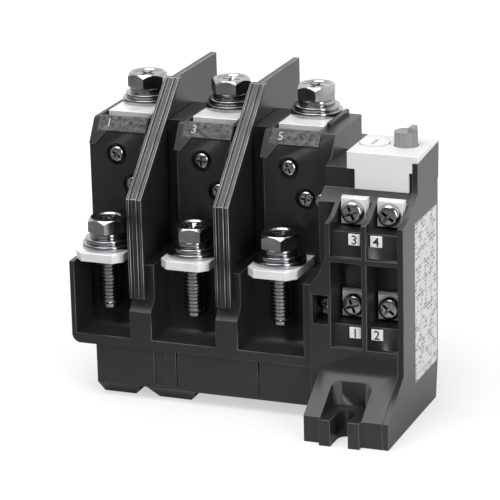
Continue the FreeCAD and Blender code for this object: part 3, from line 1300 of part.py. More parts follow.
def build():
    """Every sub-part of the relay."""
    base_plate()
    base_screws()
    heater_housing()
    for name, middle in zip(("phase_barrier_left", "phase_barrier_right"), middles):
        barrier(name, middle)
    name_plates()
    for number, pole in enumerate(poles):
        load_plate(number + 1, pole)
        line_plate(number + 1, pole)
        heater_elements(number + 1, pole)
    washers("wide_washers", dim(0), wide_thick, wide_radius)
    washers("plain_washers", wide_thick, plain_thick, plain_radius)
    washers("spring_washers", wide_thick + plain_thick, spring_thick, spring_radius, spring_gap)
    for name, (along, seat) in zip(("load_bolts", "line_bolts"), bolt_rows()):
        terminal_bolts(name, along, seat)
    element_screws()
    trip_slider()
    control_housing()
    control_side_cover()
    setting_cover()
    setting_dial()
    setting_cam()
    adjusting_lever()
    compensating_lever()
    contact_rocker()
    aux_terminals()
    aux_screws()
    marker_tiles()
    reset_button()
    reset_spring()


def check():
    """Stops if an object failed or a sub-part's shape is empty or not valid."""
    for item in doc.Objects:
        if "Invalid" in item.State or "Error" in item.State:
            raise RuntimeError("%s failed: %s" % (item.Label, item.State))
    for node in nodes:
        if node.Shape.isNull() or not node.Shape.isValid() or not node.Shape.Solids:
            raise RuntimeError("%s has no valid shape" % node.Label)


def write():
    """One STEP file for each sub-part."""
    os.makedirs("parts", exist_ok=True)
    for node in nodes:
        node.Shape.exportStep("parts/%s.step" % node.Label)


build()
doc.recompute()
check()
write()
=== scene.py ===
import json
import math

import bmesh
import bpy
from mathutils import Matrix, Vector


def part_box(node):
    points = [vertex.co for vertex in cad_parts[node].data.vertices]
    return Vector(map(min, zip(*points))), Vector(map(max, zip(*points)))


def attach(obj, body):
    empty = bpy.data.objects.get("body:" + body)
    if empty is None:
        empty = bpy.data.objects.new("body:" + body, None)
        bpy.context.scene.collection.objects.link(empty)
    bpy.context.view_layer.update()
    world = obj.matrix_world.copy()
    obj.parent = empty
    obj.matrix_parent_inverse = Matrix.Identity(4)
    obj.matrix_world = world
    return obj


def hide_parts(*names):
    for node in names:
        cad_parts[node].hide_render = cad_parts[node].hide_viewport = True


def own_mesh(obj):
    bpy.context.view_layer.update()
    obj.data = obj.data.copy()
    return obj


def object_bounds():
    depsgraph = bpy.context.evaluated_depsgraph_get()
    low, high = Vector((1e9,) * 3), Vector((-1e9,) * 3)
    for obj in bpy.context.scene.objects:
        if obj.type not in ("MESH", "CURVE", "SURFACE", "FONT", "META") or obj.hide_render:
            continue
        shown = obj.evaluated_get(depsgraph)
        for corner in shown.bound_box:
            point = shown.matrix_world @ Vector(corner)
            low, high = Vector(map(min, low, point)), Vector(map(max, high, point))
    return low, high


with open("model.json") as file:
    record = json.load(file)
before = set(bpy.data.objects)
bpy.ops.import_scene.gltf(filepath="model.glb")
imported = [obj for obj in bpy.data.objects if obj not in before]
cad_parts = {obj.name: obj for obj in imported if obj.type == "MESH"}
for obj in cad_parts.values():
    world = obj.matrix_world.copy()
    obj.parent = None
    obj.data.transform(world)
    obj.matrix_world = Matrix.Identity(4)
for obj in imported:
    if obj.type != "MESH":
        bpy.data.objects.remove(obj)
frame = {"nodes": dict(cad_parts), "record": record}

bl_info = {
    "name": "Thermal Overload Relay",
    "version": (1, 0, 0),
    "blender": (4, 5, 0),
    "location": "View3D > Sidebar > Relay",
    "description": "Detailed pieces, finishes and a stage for a three-pole thermal overload relay",
    "category": "Object",
}

CAD_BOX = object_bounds()
MM = 0.001
POLES = 3
ROWS = ("load", "line")
BOLT_TURNS = {"load": (-17, 11, -8), "line": (-20, 4, -14)}  # degrees, for each pole
SHANK_RADIUS = 3.0 * MM
PLAIN_SHANK = 6.9 * MM  # length without thread below a bolt's head
HEAD_CHAMFER = 0.95 * MM
WASHER_BORE = 3.15 * MM
SPRING_WIRE = 0.25 * MM
SPRING_TURNS = 4
PRINT_LIFT = 0.01 * MM  # gap between a print and the face under it
DIAL_TICKS = 9
DIAL_SWEEP = 270  # degrees from the first tick to the last
CAMERA_PLACE = (0.2610, -0.6726, 0.2713)
CAMERA_AZIMUTH, CAMERA_ELEVATION, CAMERA_ROLL = 21.47, 17.85, -1.45  # degrees
CAMERA_LENS = 200.5  # millimetres on a sensor 36 wide


# Measures read from the frame

def corners(node):
    """Lowest and highest corner of a node."""
    low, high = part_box(node)
    return Vector(low), Vector(high)


def pole_places():
    """X of each pole, from the holes' middle in the line plates."""
    return [sum(corners("line_plate_%d" % (number + 1))[side].x for side in (0, 1)) / 2
            for number in range(POLES)]


def islands(node):
    """Lowest and highest corner of each separate solid of a node."""
    bm = bmesh.new()
    bm.from_mesh(frame["nodes"][node].data)
    bmesh.ops.remove_doubles(bm, verts=bm.verts, dist=1e-6)
    left_over, found = set(bm.verts), []
    while left_over:
        stack, group = [left_over.pop()], []
        while stack:
            vert = stack.pop()
            group.append(vert.co.copy())
            for edge in vert.link_edges:
                other = edge.other_vert(vert)
                if other in left_over:
                    left_over.discard(other)
                    stack.append(other)
        low = Vector([min(co[axis] for co in group) for axis in range(3)])
        high = Vector([max(co[axis] for co in group) for axis in range(3)])
        found.append((low, high))
    bm.free()
    return sorted(found, key=lambda pair: (round(pair[0].z, 4), round(pair[0].x, 4)))


# Properties a user may change

class RelaySizes(bpy.types.PropertyGroup):
    moulding_edge: bpy.props.FloatProperty(
        name="Moulding Edge", description="Radius of the moulded parts' edges",
        default=0.16 * MM, unit="LENGTH", precision=5)
    plate_edge: bpy.props.FloatProperty(
        name="Plate Edge", description="Radius of the edges of stamped metal",
        default=0.15 * MM, unit="LENGTH", precision=5)
    thread_pitch: bpy.props.FloatProperty(
        name="Thread Pitch", description="Pitch of the terminal bolts' thread",
        default=1.0 * MM, unit="LENGTH", precision=5)
    thread_depth: bpy.props.FloatProperty(
        name="Thread Depth", description="Depth of the terminal bolts' thread",
        default=0.6 * MM, unit="LENGTH", precision=5)
    dish_radius: bpy.props.FloatProperty(
        name="Dish Radius", description="Radius of the dish in a bolt head",
        default=4.0 * MM, unit="LENGTH", precision=5)
    dish_depth: bpy.props.FloatProperty(
        name="Dish Depth", description="Depth of the dish in a bolt head",
        default=0.45 * MM, unit="LENGTH", precision=5)


class RelayColours(bpy.types.PropertyGroup):
    moulding: bpy.props.FloatVectorProperty(
        name="Moulding", description="Black moulded plastic", subtype="COLOR", size=4,
        default=(0.02, 0.02, 0.0205, 1), min=0, max=1)
    cover: bpy.props.FloatVectorProperty(
        name="Cover", description="Light grey setting cover", subtype="COLOR", size=4,
        default=(0.76, 0.76, 0.75, 1), min=0, max=1)
    button: bpy.props.FloatVectorProperty(
        name="Button", description="Reset button", subtype="COLOR", size=4,
        default=(0.26, 0.26, 0.26, 1), min=0, max=1)
    label: bpy.props.FloatVectorProperty(
        name="Label", description="Label film", subtype="COLOR", size=4,
        default=(0.63, 0.63, 0.615, 1), min=0, max=1)
    plated: bpy.props.FloatVectorProperty(
        name="Plated Metal", description="Bright plated terminals", subtype="COLOR", size=4,
        default=(0.95, 0.95, 0.94, 1), min=0, max=1)
    zinc: bpy.props.FloatVectorProperty(
        name="Zinc", description="Zinc plated fasteners", subtype="COLOR", size=4,
        default=(0.42, 0.43, 0.44, 1), min=0, max=1)


# Node groups and materials

def new_group(name, inputs, outputs):
    """An empty shader node group with these sockets; returns it with its input and output nodes."""
    group = bpy.data.node_groups.new(name, "ShaderNodeTree")
    for socket, kind, value in inputs:
        made = group.interface.new_socket(socket, in_out="INPUT", socket_type=kind)
        if value is not None:
            made.default_value = value
    for socket, kind in outputs:
        group.interface.new_socket(socket, in_out="OUTPUT", socket_type=kind)
    return group, group.nodes.new("NodeGroupInput"), group.nodes.new("NodeGroupOutput")


def feed(tree, node, inputs):
    """Sets a node's input sockets, each from a value or by a link; returns the node."""
    for key, value in (inputs or {}).items():
        if isinstance(value, bpy.types.NodeSocket):
            tree.links.new(value, node.inputs[key])
        else:
            node.inputs[key].default_value = value
    return node


def add(tree, kind, inputs=None, **settings):
    """A node with its settings, and with values or links for its input sockets."""
    node = tree.nodes.new("ShaderNode" + kind)
    for key, value in settings.items():
        setattr(node, key, value)
    return feed(tree, node, inputs)


def moulded_grain():
    """Fine grain and a faint flow waviness of moulded plastic: a height and a slow tone."""
    group, given, out = new_group(
        "moulded_grain",
        [("Scale", "NodeSocketFloat", 2600.0), ("Flow", "NodeSocketFloat", 60.0)],
        [("Height", "NodeSocketFloat"), ("Tone", "NodeSocketFloat")])
    place = add(group, "TexCoord").outputs["Object"]
    fine = add(group, "TexNoise", {"Vector": place, "Scale": given.outputs["Scale"], "Detail": 3.0})
    flow = add(group, "TexNoise", {"Vector": place, "Scale": given.outputs["Flow"], "Detail": 2.0})
    height = add(group, "Math", {0: flow.outputs["Fac"], 1: 2.5, 2: fine.outputs["Fac"]},
                 operation="MULTIPLY_ADD")
    group.links.new(height.outputs[0], out.inputs["Height"])
    group.links.new(flow.outputs["Fac"], out.inputs["Tone"])
    return group


def painted_edge_highlight():
    """Painted highlight on the rounded edges: lightens them unevenly, from the mesh's own edge mask."""
    group, given, out = new_group(
        "painted_edge_highlight",
        [("Color", "NodeSocketColor", (0, 0, 0, 1)), ("Edge Color", "NodeSocketColor", (0.2, 0.2, 0.2, 1)),
         ("Amount", "NodeSocketFloat", 1.0)],
        [("Color", "NodeSocketColor"), ("Mask", "NodeSocketFloat")])
    mask = add(group, "Attribute", attribute_name="edge")
    place = add(group, "TexCoord").outputs["Object"]
    noise = add(group, "TexNoise", {"Vector": place, "Scale": 90.0, "Detail": 2.0})
    patchy = add(group, "MapRange", {"Value": noise.outputs["Fac"], "From Min": 0.32, "From Max": 0.6})
    # painted highlight: the edge mask, broken up by noise, marks where the edges are lightened
    highlighted = add(group, "Math", {0: mask.outputs["Fac"], 1: patchy.outputs[0]}, operation="MULTIPLY")
    amount = add(group, "Math", {0: highlighted.outputs[0], 1: given.outputs["Amount"]}, operation="MULTIPLY")
    blend = add(group, "MixRGB", {"Fac": amount.outputs[0], "Color1": given.outputs["Color"],
                                  "Color2": given.outputs["Edge Color"]})
    group.links.new(blend.outputs["Color"], out.inputs["Color"])
    group.links.new(amount.outputs[0], out.inputs["Mask"])
    return group


def metal_patina():
    """Fine scratches and cloudy plating: a roughness, a height and a tone."""
    group, given, out = new_group(
        "metal_patina",
        [("Roughness", "NodeSocketFloat", 0.25), ("Variation", "NodeSocketFloat", 0.15),
         ("Stretch", "NodeSocketVector", (1, 1, 1))],
        [("Roughness", "NodeSocketFloat"), ("Height", "NodeSocketFloat"), ("Tone", "NodeSocketFloat")])
    place = add(group, "TexCoord").outputs["Object"]
    stretched = add(group, "VectorMath", {0: place, 1: given.outputs["Stretch"]}, operation="MULTIPLY")
    scratches = add(group, "TexNoise", {"Vector": stretched.outputs[0], "Scale": 1500.0, "Detail": 4.0})
    cloud = add(group, "TexNoise", {"Vector": place, "Scale": 240.0, "Detail": 3.0})
    rough = add(group, "Math", {0: cloud.outputs["Fac"], 1: given.outputs["Variation"],
                                2: given.outputs["Roughness"]}, operation="MULTIPLY_ADD")
    group.links.new(rough.outputs[0], out.inputs["Roughness"])
    group.links.new(scratches.outputs["Fac"], out.inputs["Height"])
    group.links.new(cloud.outputs["Fac"], out.inputs["Tone"])
    return group


GROUP_BUILDERS = {"moulded_grain": moulded_grain, "painted_edge_highlight": painted_edge_highlight, "metal_patina": metal_patina}
GROUPS = {}


def use(tree, name, inputs=None):
    """Places a shared node group, built when it is first needed."""
    if name not in GROUPS:
        GROUPS[name] = GROUP_BUILDERS[name]()
    node = tree.nodes.new("ShaderNodeGroup")
    node.node_tree = GROUPS[name]
    return feed(tree, node, inputs)


def blank_material(name):
    """A material with a bare Principled shader; returns the material, its tree and the shader."""
    material = bpy.data.materials.new(name)
    material.use_nodes = True
    shader = next(node for node in material.node_tree.nodes if node.type == "BSDF_PRINCIPLED")
    return material, material.node_tree, shader


def bump(tree, shader, height, strength, distance):
    """Feeds a height to the shader's normal."""
    made = add(tree, "Bump", {"Height": height, "Strength": strength, "Distance": distance})
    tree.links.new(made.outputs["Normal"], shader.inputs["Normal"])


def varied_colour(tree, tone, colour, spread):
    """A colour that drifts a little, lighter and darker, with a tone."""
    dark = tuple(channel * (1 - spread) for channel in colour[:3]) + (1,)
    light = tuple(min(1, channel * (1 + spread)) for channel in colour[:3]) + (1,)
    ramp = add(tree, "ValToRGB", {"Fac": tone})
    ramp.color_ramp.elements[0].position, ramp.color_ramp.elements[0].color = 0.3, dark
    ramp.color_ramp.elements[1].position, ramp.color_ramp.elements[1].color = 0.7, light
    return ramp.outputs["Color"]


def plastic(name, colour, roughness, edge_colour=None, edge_amount=0.0, grain=0.1, spread=0.06, flow=60.0):
    """Moulded plastic with grain, a slow drift of tone and a painted highlight along its edges."""
    material, tree, shader = blank_material(name)
    texture = use(tree, "moulded_grain", {"Flow": flow})
    body = varied_colour(tree, texture.outputs["Tone"], colour, spread)
    # painted highlight: the edge colour is mixed in along the rounded edges
    if edge_colour is not None:
        highlighted = use(tree, "painted_edge_highlight", {"Color": body, "Edge Color": tuple(edge_colour[:3]) + (1,),
                                      "Amount": edge_amount})
        body = highlighted.outputs["Color"]
    tree.links.new(body, shader.inputs["Base Color"])
    rough = add(tree, "MapRange", {"Value": texture.outputs["Tone"], "To Min": roughness - 0.05,
                                   "To Max": roughness + 0.08})
    tree.links.new(rough.outputs[0], shader.inputs["Roughness"])
    bump(tree, shader, texture.outputs["Height"], grain, 0.02 * MM)
    return material


def metal(name, colour, roughness, variation=0.15, stretch=(1, 1, 1), depth=0.12, spread=0.08, metallic=1.0):
    """Plated or bare metal with scratches and a cloudy finish; less metallic for a dull, matte plating."""
    material, tree, shader = blank_material(name)
    texture = use(tree, "metal_patina", {"Roughness": roughness, "Variation": variation, "Stretch": stretch})
    tree.links.new(varied_colour(tree, texture.outputs["Tone"], colour, spread), shader.inputs["Base Color"])
    tree.links.new(texture.outputs["Roughness"], shader.inputs["Roughness"])
    shader.inputs["Metallic"].default_value = metallic
    bump(tree, shader, texture.outputs["Height"], depth, 0.02 * MM)
    return material


def ruled_label(name, colour):
    """Pale film with a plain printed table: ruled lines and patches of short grey bars, without words."""
    material, tree, shader = blank_material(name)
    parts = add(tree, "SeparateXYZ", {"Vector": add(tree, "TexCoord").outputs["Object"]})
    flat = add(tree, "CombineXYZ", {"X": parts.outputs["Y"], "Y": parts.outputs["Z"]}).outputs[0]
    ink, line = (0.16, 0.16, 0.16, 1), (0.25, 0.25, 0.25, 1)
    bars = add(tree, "TexBrick", {"Vector": flat, "Color1": ink, "Color2": ink, "Mortar": colour, "Scale": 1.0,
                                  "Mortar Size": 0.00026, "Mortar Smooth": 0.1, "Brick Width": 0.0026,
                                  "Row Height": 0.00105}, offset=0.37)
    patches = add(tree, "TexNoise", {"Vector": flat, "Scale": 330.0, "Detail": 1.0})
    printed = add(tree, "MapRange", {"Value": patches.outputs["Fac"], "From Min": 0.5, "From Max": 0.54})
    print_mix = add(tree, "MixRGB", {"Fac": printed.outputs[0], "Color1": colour, "Color2": bars.outputs["Color"]})
    rules = add(tree, "TexBrick", {"Vector": flat, "Color1": (0, 0, 0, 1), "Color2": (0, 0, 0, 1),
                                   "Mortar": (1, 1, 1, 1), "Scale": 1.0, "Mortar Size": 0.0001,
                                   "Mortar Smooth": 0.1, "Brick Width": 0.0084, "Row Height": 0.0042},
                offset=0.0)
    ruled = add(tree, "MixRGB", {"Fac": rules.outputs["Color"], "Color1": print_mix.outputs["Color"],
                                 "Color2": line})
    grain = use(tree, "moulded_grain", {"Scale": 1800.0})
    tree.links.new(ruled.outputs["Color"], shader.inputs["Base Color"])
    shader.inputs["Roughness"].default_value = 0.38
    bump(tree, shader, grain.outputs["Height"], 0.05, 0.02 * MM)
    return material


def make_materials(colours):
    """Every finish, by the record's slot."""
    return {
        # the edge colour and amount after each plastic's roughness give its painted edge highlight
        "black_moulding": plastic("black_moulding", colours.moulding, 0.3, (0.3, 0.3, 0.3), 0.3),
        "barrier": plastic("barrier", colours.moulding, 0.28, (0.7, 0.7, 0.7), 0.7),
        "name_plate": plastic("name_plate", (0.07, 0.07, 0.07), 0.45, (0.3, 0.3, 0.3), 0.6, grain=0.9, spread=0.9,
                              flow=900.0),
        "nickel_plate": metal("nickel_plate", colours.plated, 0.3, 0.14, (1, 0.15, 1), metallic=0.3),
        "zinc_steel": metal("zinc_steel", colours.zinc, 0.1, 0.14, depth=0.06, spread=0.2),
        "bimetal": metal("bimetal", (0.5, 0.45, 0.38), 0.35, 0.15, (1, 1, 0.1)),
        "heater_alloy": metal("heater_alloy", (0.42, 0.39, 0.36), 0.4, 0.15, (1, 1, 0.1)),
        "grey_lever": plastic("grey_lever", (0.4, 0.4, 0.38), 0.45),
        "label": ruled_label("label", colours.label),
        "light_cover": plastic("light_cover", colours.cover, 0.45, (0.85, 0.85, 0.84), 0.7, grain=0.25, spread=0.03),
        "white_plastic": plastic("white_plastic", (0.8, 0.8, 0.78), 0.4, (0.86, 0.86, 0.85), 0.5, spread=0.03),
        "contact_silver": metal("contact_silver", (0.85, 0.85, 0.83), 0.25),
        "reset_plastic": plastic("reset_plastic", colours.button, 0.45, (0.4, 0.4, 0.4), 0.6),
        "spring_steel": metal("spring_steel", (0.45, 0.45, 0.46), 0.3),
        "ink": plastic("ink", (0.03, 0.03, 0.03), 0.6),
        "pale_ink": plastic("pale_ink", (0.45, 0.45, 0.45), 0.6),
    }


MATERIALS = {}


def finish(slot):
    """The material of a slot."""
    if not MATERIALS:
        MATERIALS.update(make_materials(bpy.context.scene.relay_colours))
    return MATERIALS[slot]


# Building pieces

def add_piece(bm, name, body, slot, replaced=(), material=None, sharp=35):
    """Turns a bmesh into a piece that rides on a body and may stand for nodes; print has no slot of its own."""
    mesh = bpy.data.meshes.new(name)
    bm.to_mesh(mesh)
    bm.free()
    mesh.shade_smooth()
    mesh.set_sharp_from_angle(angle=math.radians(sharp))
    piece = bpy.data.objects.new(name, mesh)
    bpy.context.scene.collection.objects.link(piece)
    mesh.materials.append(material or finish(slot))
    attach(piece, body)
    if replaced:
        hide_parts(*replaced)
    return piece


def weight_normals(piece):
    """Keeps the broad faces flat beside their rounded edges."""
    modifier = piece.modifiers.new("flat_faces", "WEIGHTED_NORMAL")
    modifier.keep_sharp = True
    modifier.weight = 100


def solid_of(node):
    """A closed bmesh of a node, with its flat faces whole."""
    bm = bmesh.new()
    bm.from_mesh(frame["nodes"][node].data)
    bmesh.ops.remove_doubles(bm, verts=bm.verts, dist=2e-6)
    bmesh.ops.dissolve_limit(bm, angle_limit=math.radians(0.6), use_dissolve_boundaries=False,
                             verts=bm.verts, edges=bm.edges, delimit=set())
    return bm


def soften(bm, radius):
    """Rounds the outward edges and marks the rounding for the painted edge highlight."""
    layer = bm.faces.layers.float.new("edge")
    sharp = [edge for edge in bm.edges if edge.is_manifold and edge.is_convex
             and edge.calc_length() > 3 * radius and edge.calc_face_angle(0) > math.radians(40)]
    made = bmesh.ops.bevel(bm, geom=sharp, offset=radius, offset_type="OFFSET", segments=2,
                           profile=0.5, affect="EDGES", clamp_overlap=False, material=-1, loop_slide=True)
    for face in made["faces"]:
        face[layer] = 1.0
    return bm


def softened_node(node, body, slot, radius, material=None):
    """A piece that stands for a node, with its edges rounded."""
    bm = soften(solid_of(node), radius)
    piece = add_piece(bm, node + "_finished", body, slot, (node,), material)
    weight_normals(piece)
    return piece


def place_on_axis(bm, place, axis):
    """Turns a bmesh built upwards so that its top looks along an axis, and moves it into place."""
    turn = Vector((0, 0, 1)).rotation_difference(Vector(axis)).to_matrix().to_4x4()
    bmesh.ops.transform(bm, matrix=Matrix.Translation(place) @ turn, verts=bm.verts)


def spun(profile, steps=32):
    """Turns a (radius, height) outline about Z; one that ends away from the axis leaves the top open."""
    bm = bmesh.new()
    verts = [bm.verts.new((radius, 0, height)) for radius, height in profile]
    edges = [bm.edges.new(pair) for pair in zip(verts, verts[1:])]
    bmesh.ops.spin(bm, geom=verts + edges, cent=(0, 0, 0), axis=(0, 0, 1), dvec=(0, 0, 0),
                   angle=2 * math.pi, steps=steps, use_merge=True)
    bmesh.ops.remove_doubles(bm, verts=bm.verts, dist=1e-7)
    bmesh.ops.recalc_face_normals(bm, faces=bm.faces)
    return bm


def cross_recess(bm, height, reach, width, depth):
    """A cross recess pressed into the open middle of a head: joins the open rim to the cross and sinks it."""
    rim = [edge for edge in bm.edges if edge.is_boundary]
    half = width / 2
    outline = [(reach, -half), (reach, half), (half, half), (half, reach), (-half, reach), (-half, half),
               (-reach, half), (-reach, -half), (-half, -half), (-half, -reach), (half, -reach), (half, -half)]
    verts = [bm.verts.new((across, along, height)) for across, along in outline]
    face = bm.faces.new(verts)
    bmesh.ops.bridge_loops(bm, edges=rim + list(face.edges))
    sunk = bmesh.ops.extrude_face_region(bm, geom=[face])
    low = [item for item in sunk["geom"] if isinstance(item, bmesh.types.BMVert)]
    bmesh.ops.delete(bm, geom=[face], context="FACES_ONLY")
    bmesh.ops.scale(bm, vec=(0.55, 0.55, 1), verts=low)
    bmesh.ops.translate(bm, vec=(0, 0, -depth), verts=low)
    bmesh.ops.recalc_face_normals(bm, faces=bm.faces)


def screw_thread(radius, depth, pitch, turns, steps=20):
    """A helical thread that climbs from z 0 and fades into the core at both ends."""
    bm = bmesh.new()
    root = radius - depth
    profile = [(root, 0.0), (root, 0.12 * pitch), (radius, 0.44 * pitch), (radius, 0.56 * pitch),
               (root, 0.88 * pitch), (root, pitch)]
    verts = [bm.verts.new((across, 0, up)) for across, up in profile]
    edges = [bm.edges.new(pair) for pair in zip(verts, verts[1:])]
    bmesh.ops.spin(bm, geom=verts + edges, cent=(0, 0, 0), axis=(0, 0, 1), dvec=(0, 0, pitch / steps),
                   angle=2 * math.pi * turns, steps=steps * turns)
    bmesh.ops.remove_doubles(bm, verts=bm.verts, dist=1e-7)
    top = (turns + 1) * pitch
    for vert in bm.verts:
        fade = max(0, min(1, vert.co.z / pitch - 1, (top - vert.co.z) / pitch - 1))
        across = vert.co.xy.length
        vert.co.xy *= (root + (across - root) * fade) / across
    bmesh.ops.holes_fill(bm, edges=[edge for edge in bm.edges if edge.is_boundary], sides=0)
    bmesh.ops.triangulate(bm, faces=[face for face in bm.faces if len(face.verts) > 8])
    bmesh.ops.recalc_face_normals(bm, faces=bm.faces)
    return bm


def join_into(target, source):
    """Adds one bmesh to another."""
    mesh = bpy.data.meshes.new("joined")
    source.to_mesh(mesh)
    source.free()
    target.from_mesh(mesh)
    bpy.data.meshes.remove(mesh)


def hex_bolt(across_flats, head_height, length, sizes):
    """A hexagon bolt built from the underside of its head at z 0: dished head with a cross, threaded shank."""
    flat = across_flats / 2
    corner = flat / math.cos(math.pi / 6)
    rim, dish, deep = corner - HEAD_CHAMFER, sizes.dish_radius, sizes.dish_depth
    head = spun([(0, 0), (flat * 0.97, 0), (corner, 0.25 * MM), (corner, head_height - HEAD_CHAMFER),
                 (rim, head_height), (dish + 0.25 * MM, head_height), (dish, head_height - 0.12 * MM),
                 (dish - 0.3 * MM, head_height - deep), (dish * 0.72, head_height - deep)], 48)
    for side in range(6):
        angle = math.pi / 6 + side * math.pi / 3
        normal = Vector((math.cos(angle), math.sin(angle), 0))
        cut = bmesh.ops.bisect_plane(head, geom=head.verts[:] + head.edges[:] + head.faces[:], dist=1e-7,
                                     plane_co=normal * flat, plane_no=normal, clear_outer=True)
        loop = [item for item in cut["geom_cut"] if isinstance(item, bmesh.types.BMEdge)]
        bmesh.ops.contextual_create(head, geom=loop)
    cross_recess(head, head_height - deep, dish * 0.62, dish * 0.3, head_height * 0.4)
    thread_turns = int((length - 7 * MM) / sizes.thread_pitch)
    thread = screw_thread(SHANK_RADIUS, sizes.thread_depth, sizes.thread_pitch, thread_turns)
    bmesh.ops.translate(thread, vec=(0, 0, -length + 0.4 * MM), verts=thread.verts)
    join_into(head, thread)
    overlap = 0.02 * MM
    core, plain = SHANK_RADIUS - sizes.thread_depth + overlap, SHANK_RADIUS - overlap
    shank = spun([(0, -length), (core - 0.5 * MM, -length), (core, -length + 0.5 * MM), (core, -PLAIN_SHANK),
                  (plain, 0.6 * MM - PLAIN_SHANK), (plain, overlap), (0, overlap)], 24)
    join_into(head, shank)
    return head


def washer(bore, radius, thick, edge, split=0.0, steps=48):
    """A washer from z 0 with rounded edges; split leaves a gap of that angle."""
    bm = bmesh.new()
    outline = [(bore, 0), (radius, 0), (radius, thick), (bore, thick)]
    bm.faces.new([bm.verts.new((across, 0, up)) for across, up in outline])
    bmesh.ops.bevel(bm, geom=bm.verts[:], offset=edge, segments=2, profile=0.5, affect="VERTICES",
                    material=-1)
    if not split:
        bmesh.ops.delete(bm, geom=bm.faces[:], context="FACES_ONLY")
    bmesh.ops.spin(bm, geom=bm.verts[:] + bm.edges[:] + bm.faces[:], cent=(0, 0, 0), axis=(0, 0, 1),
                   dvec=(0, 0, 0), angle=2 * math.pi - split, steps=steps, use_merge=not split)
    bmesh.ops.remove_doubles(bm, verts=bm.verts, dist=1e-7)
    bmesh.ops.recalc_face_normals(bm, faces=bm.faces)
    return bm


def pan_screw(radius, height, shank_radius, shank_length):
    """A pan head screw from the seat at z 0, its head upwards, with a cross recess."""
    reach = radius * 0.62
    head = spun([(0, -shank_length), (shank_radius, -shank_length), (shank_radius, 0), (radius, 0),
                 (radius, height * 0.45), (radius * 0.94, height * 0.75), (radius * 0.78, height * 0.95),
                 (reach + 0.15 * MM, height)], 32)
    cross_recess(head, height, reach, radius * 0.26, height * 0.7)
    return head


def digit_mesh(text, height):
    """A flat digit of this height, centred on the origin in the XY plane."""
    curve = bpy.data.curves.new("digit", "FONT")
    curve.body, curve.size, curve.offset = text, height / 0.7, height * 0.018
    curve.resolution_u = 3
    holder = bpy.data.objects.new("digit", curve)
    bm = bmesh.new()
    bm.from_mesh(holder.to_mesh())
    holder.to_mesh_clear()
    bpy.data.objects.remove(holder)
    bpy.data.curves.remove(curve)
    low = Vector([min(vert.co[axis] for vert in bm.verts) for axis in range(3)])
    high = Vector([max(vert.co[axis] for vert in bm.verts) for axis in range(3)])
    bmesh.ops.translate(bm, vec=-(low + high) / 2, verts=bm.verts)
    return bm


def frame_line(width, height, line):
    """A flat rectangular frame in the XY plane."""
    bm = bmesh.new()
    bmesh.ops.create_grid(bm, x_segments=1, y_segments=1, size=0.5)
    bmesh.ops.scale(bm, vec=(width, height, 1), verts=bm.verts)
    inner = bm.faces[:]
    bmesh.ops.inset_region(bm, faces=inner, thickness=line)
    bmesh.ops.delete(bm, geom=inner, context="FACES")
    return bm


def stand_up(bm, place):
    """Turns a flat bmesh to face the front and moves it into place."""
    bmesh.ops.transform(bm, matrix=Matrix.Translation(place) @ Matrix.Rotation(math.pi / 2, 4, "X"),
                        verts=bm.verts)


# Operators

class PieceOperator:
    bl_options = {"REGISTER", "UNDO"}

    @classmethod
    def poll(cls, context):
        return bool(frame["nodes"])


class RELAY_OT_mouldings(PieceOperator, bpy.types.Operator):
    """Finish the black mouldings with rounded edges, lightened by a painted highlight"""
    bl_idname = "relay.mouldings"
    bl_label = "Black Mouldings"

    def execute(self, context):
        radius = context.scene.relay_sizes.moulding_edge
        for node in ("heater_housing", "control_housing", "control_side_cover", "base_plate"):
            softened_node(node, "housing", "black_moulding", radius)
        for node in ("phase_barrier_left", "phase_barrier_right"):
            softened_node(node, "housing", "black_moulding", radius * 0.8, finish("barrier"))
        return {"FINISHED"}


class RELAY_OT_terminal_plates(PieceOperator, bpy.types.Operator):
    """Finish the stamped terminal plates"""
    bl_idname = "relay.terminal_plates"
    bl_label = "Terminal Plates"

    def execute(self, context):
        radius = context.scene.relay_sizes.plate_edge
        for row in ROWS:
            for number in range(POLES):
                softened_node("%s_plate_%d" % (row, number + 1), "housing", "nickel_plate", radius)
        softened_node("aux_clamps", "housing", "nickel_plate", radius)
        return {"FINISHED"}


class RELAY_OT_terminal_bolts(PieceOperator, bpy.types.Operator):
    """Make the threaded hexagon bolts of both terminal rows"""
    bl_idname = "relay.terminal_bolts"
    bl_label = "Terminal Bolts"

    def execute(self, context):
        for row in ROWS:
            low, high = corners("%s_bolts" % row)
            flats = high.y - low.y
            seats = sorted({round(pair[1].z, 6) for pair in islands("spring_washers")})
            under = seats[0] if row == "load" else seats[-1]
            middle_y = (low.y + high.y) / 2
            for number, across in enumerate(pole_places()):
                bm = hex_bolt(flats, high.z - under, under - low.z, context.scene.relay_sizes)
                turn = Matrix.Rotation(math.radians(BOLT_TURNS[row][number]), 4, "Z")
                bmesh.ops.transform(bm, matrix=Matrix.Translation((across, middle_y, under)) @ turn,
                                    verts=bm.verts)
                replaced = ("%s_bolts" % row,) if number == 0 else ()
                add_piece(bm, "%s_bolt_%d" % (row, number + 1), "housing", "zinc_steel", replaced, sharp=30)
        return {"FINISHED"}


class RELAY_OT_washers(PieceOperator, bpy.types.Operator):
    """Make the washers under the terminal bolts"""
    bl_idname = "relay.washers"
    bl_label = "Washers"

    def execute(self, context):
        for node, split in (("wide_washers", 0), ("plain_washers", 0), ("spring_washers", math.radians(9))):
            for number, (low, high) in enumerate(islands(node)):
                radius = (high.x - low.x) / 2 if not split else (high.y - low.y) / 2
                middle = Vector((low.x + radius, (low.y + high.y) / 2, low.z))
                bm = washer(WASHER_BORE, radius, high.z - low.z, 0.22 * MM, split)
                bmesh.ops.transform(bm, matrix=Matrix.Translation(middle) @ Matrix.Rotation(
                    math.radians(-60 + 47 * number), 4, "Z"), verts=bm.verts)
                add_piece(bm, "%s_%d" % (node, number + 1), "housing", "zinc_steel",
                          (node,) if number == 0 else (), sharp=50)
        return {"FINISHED"}


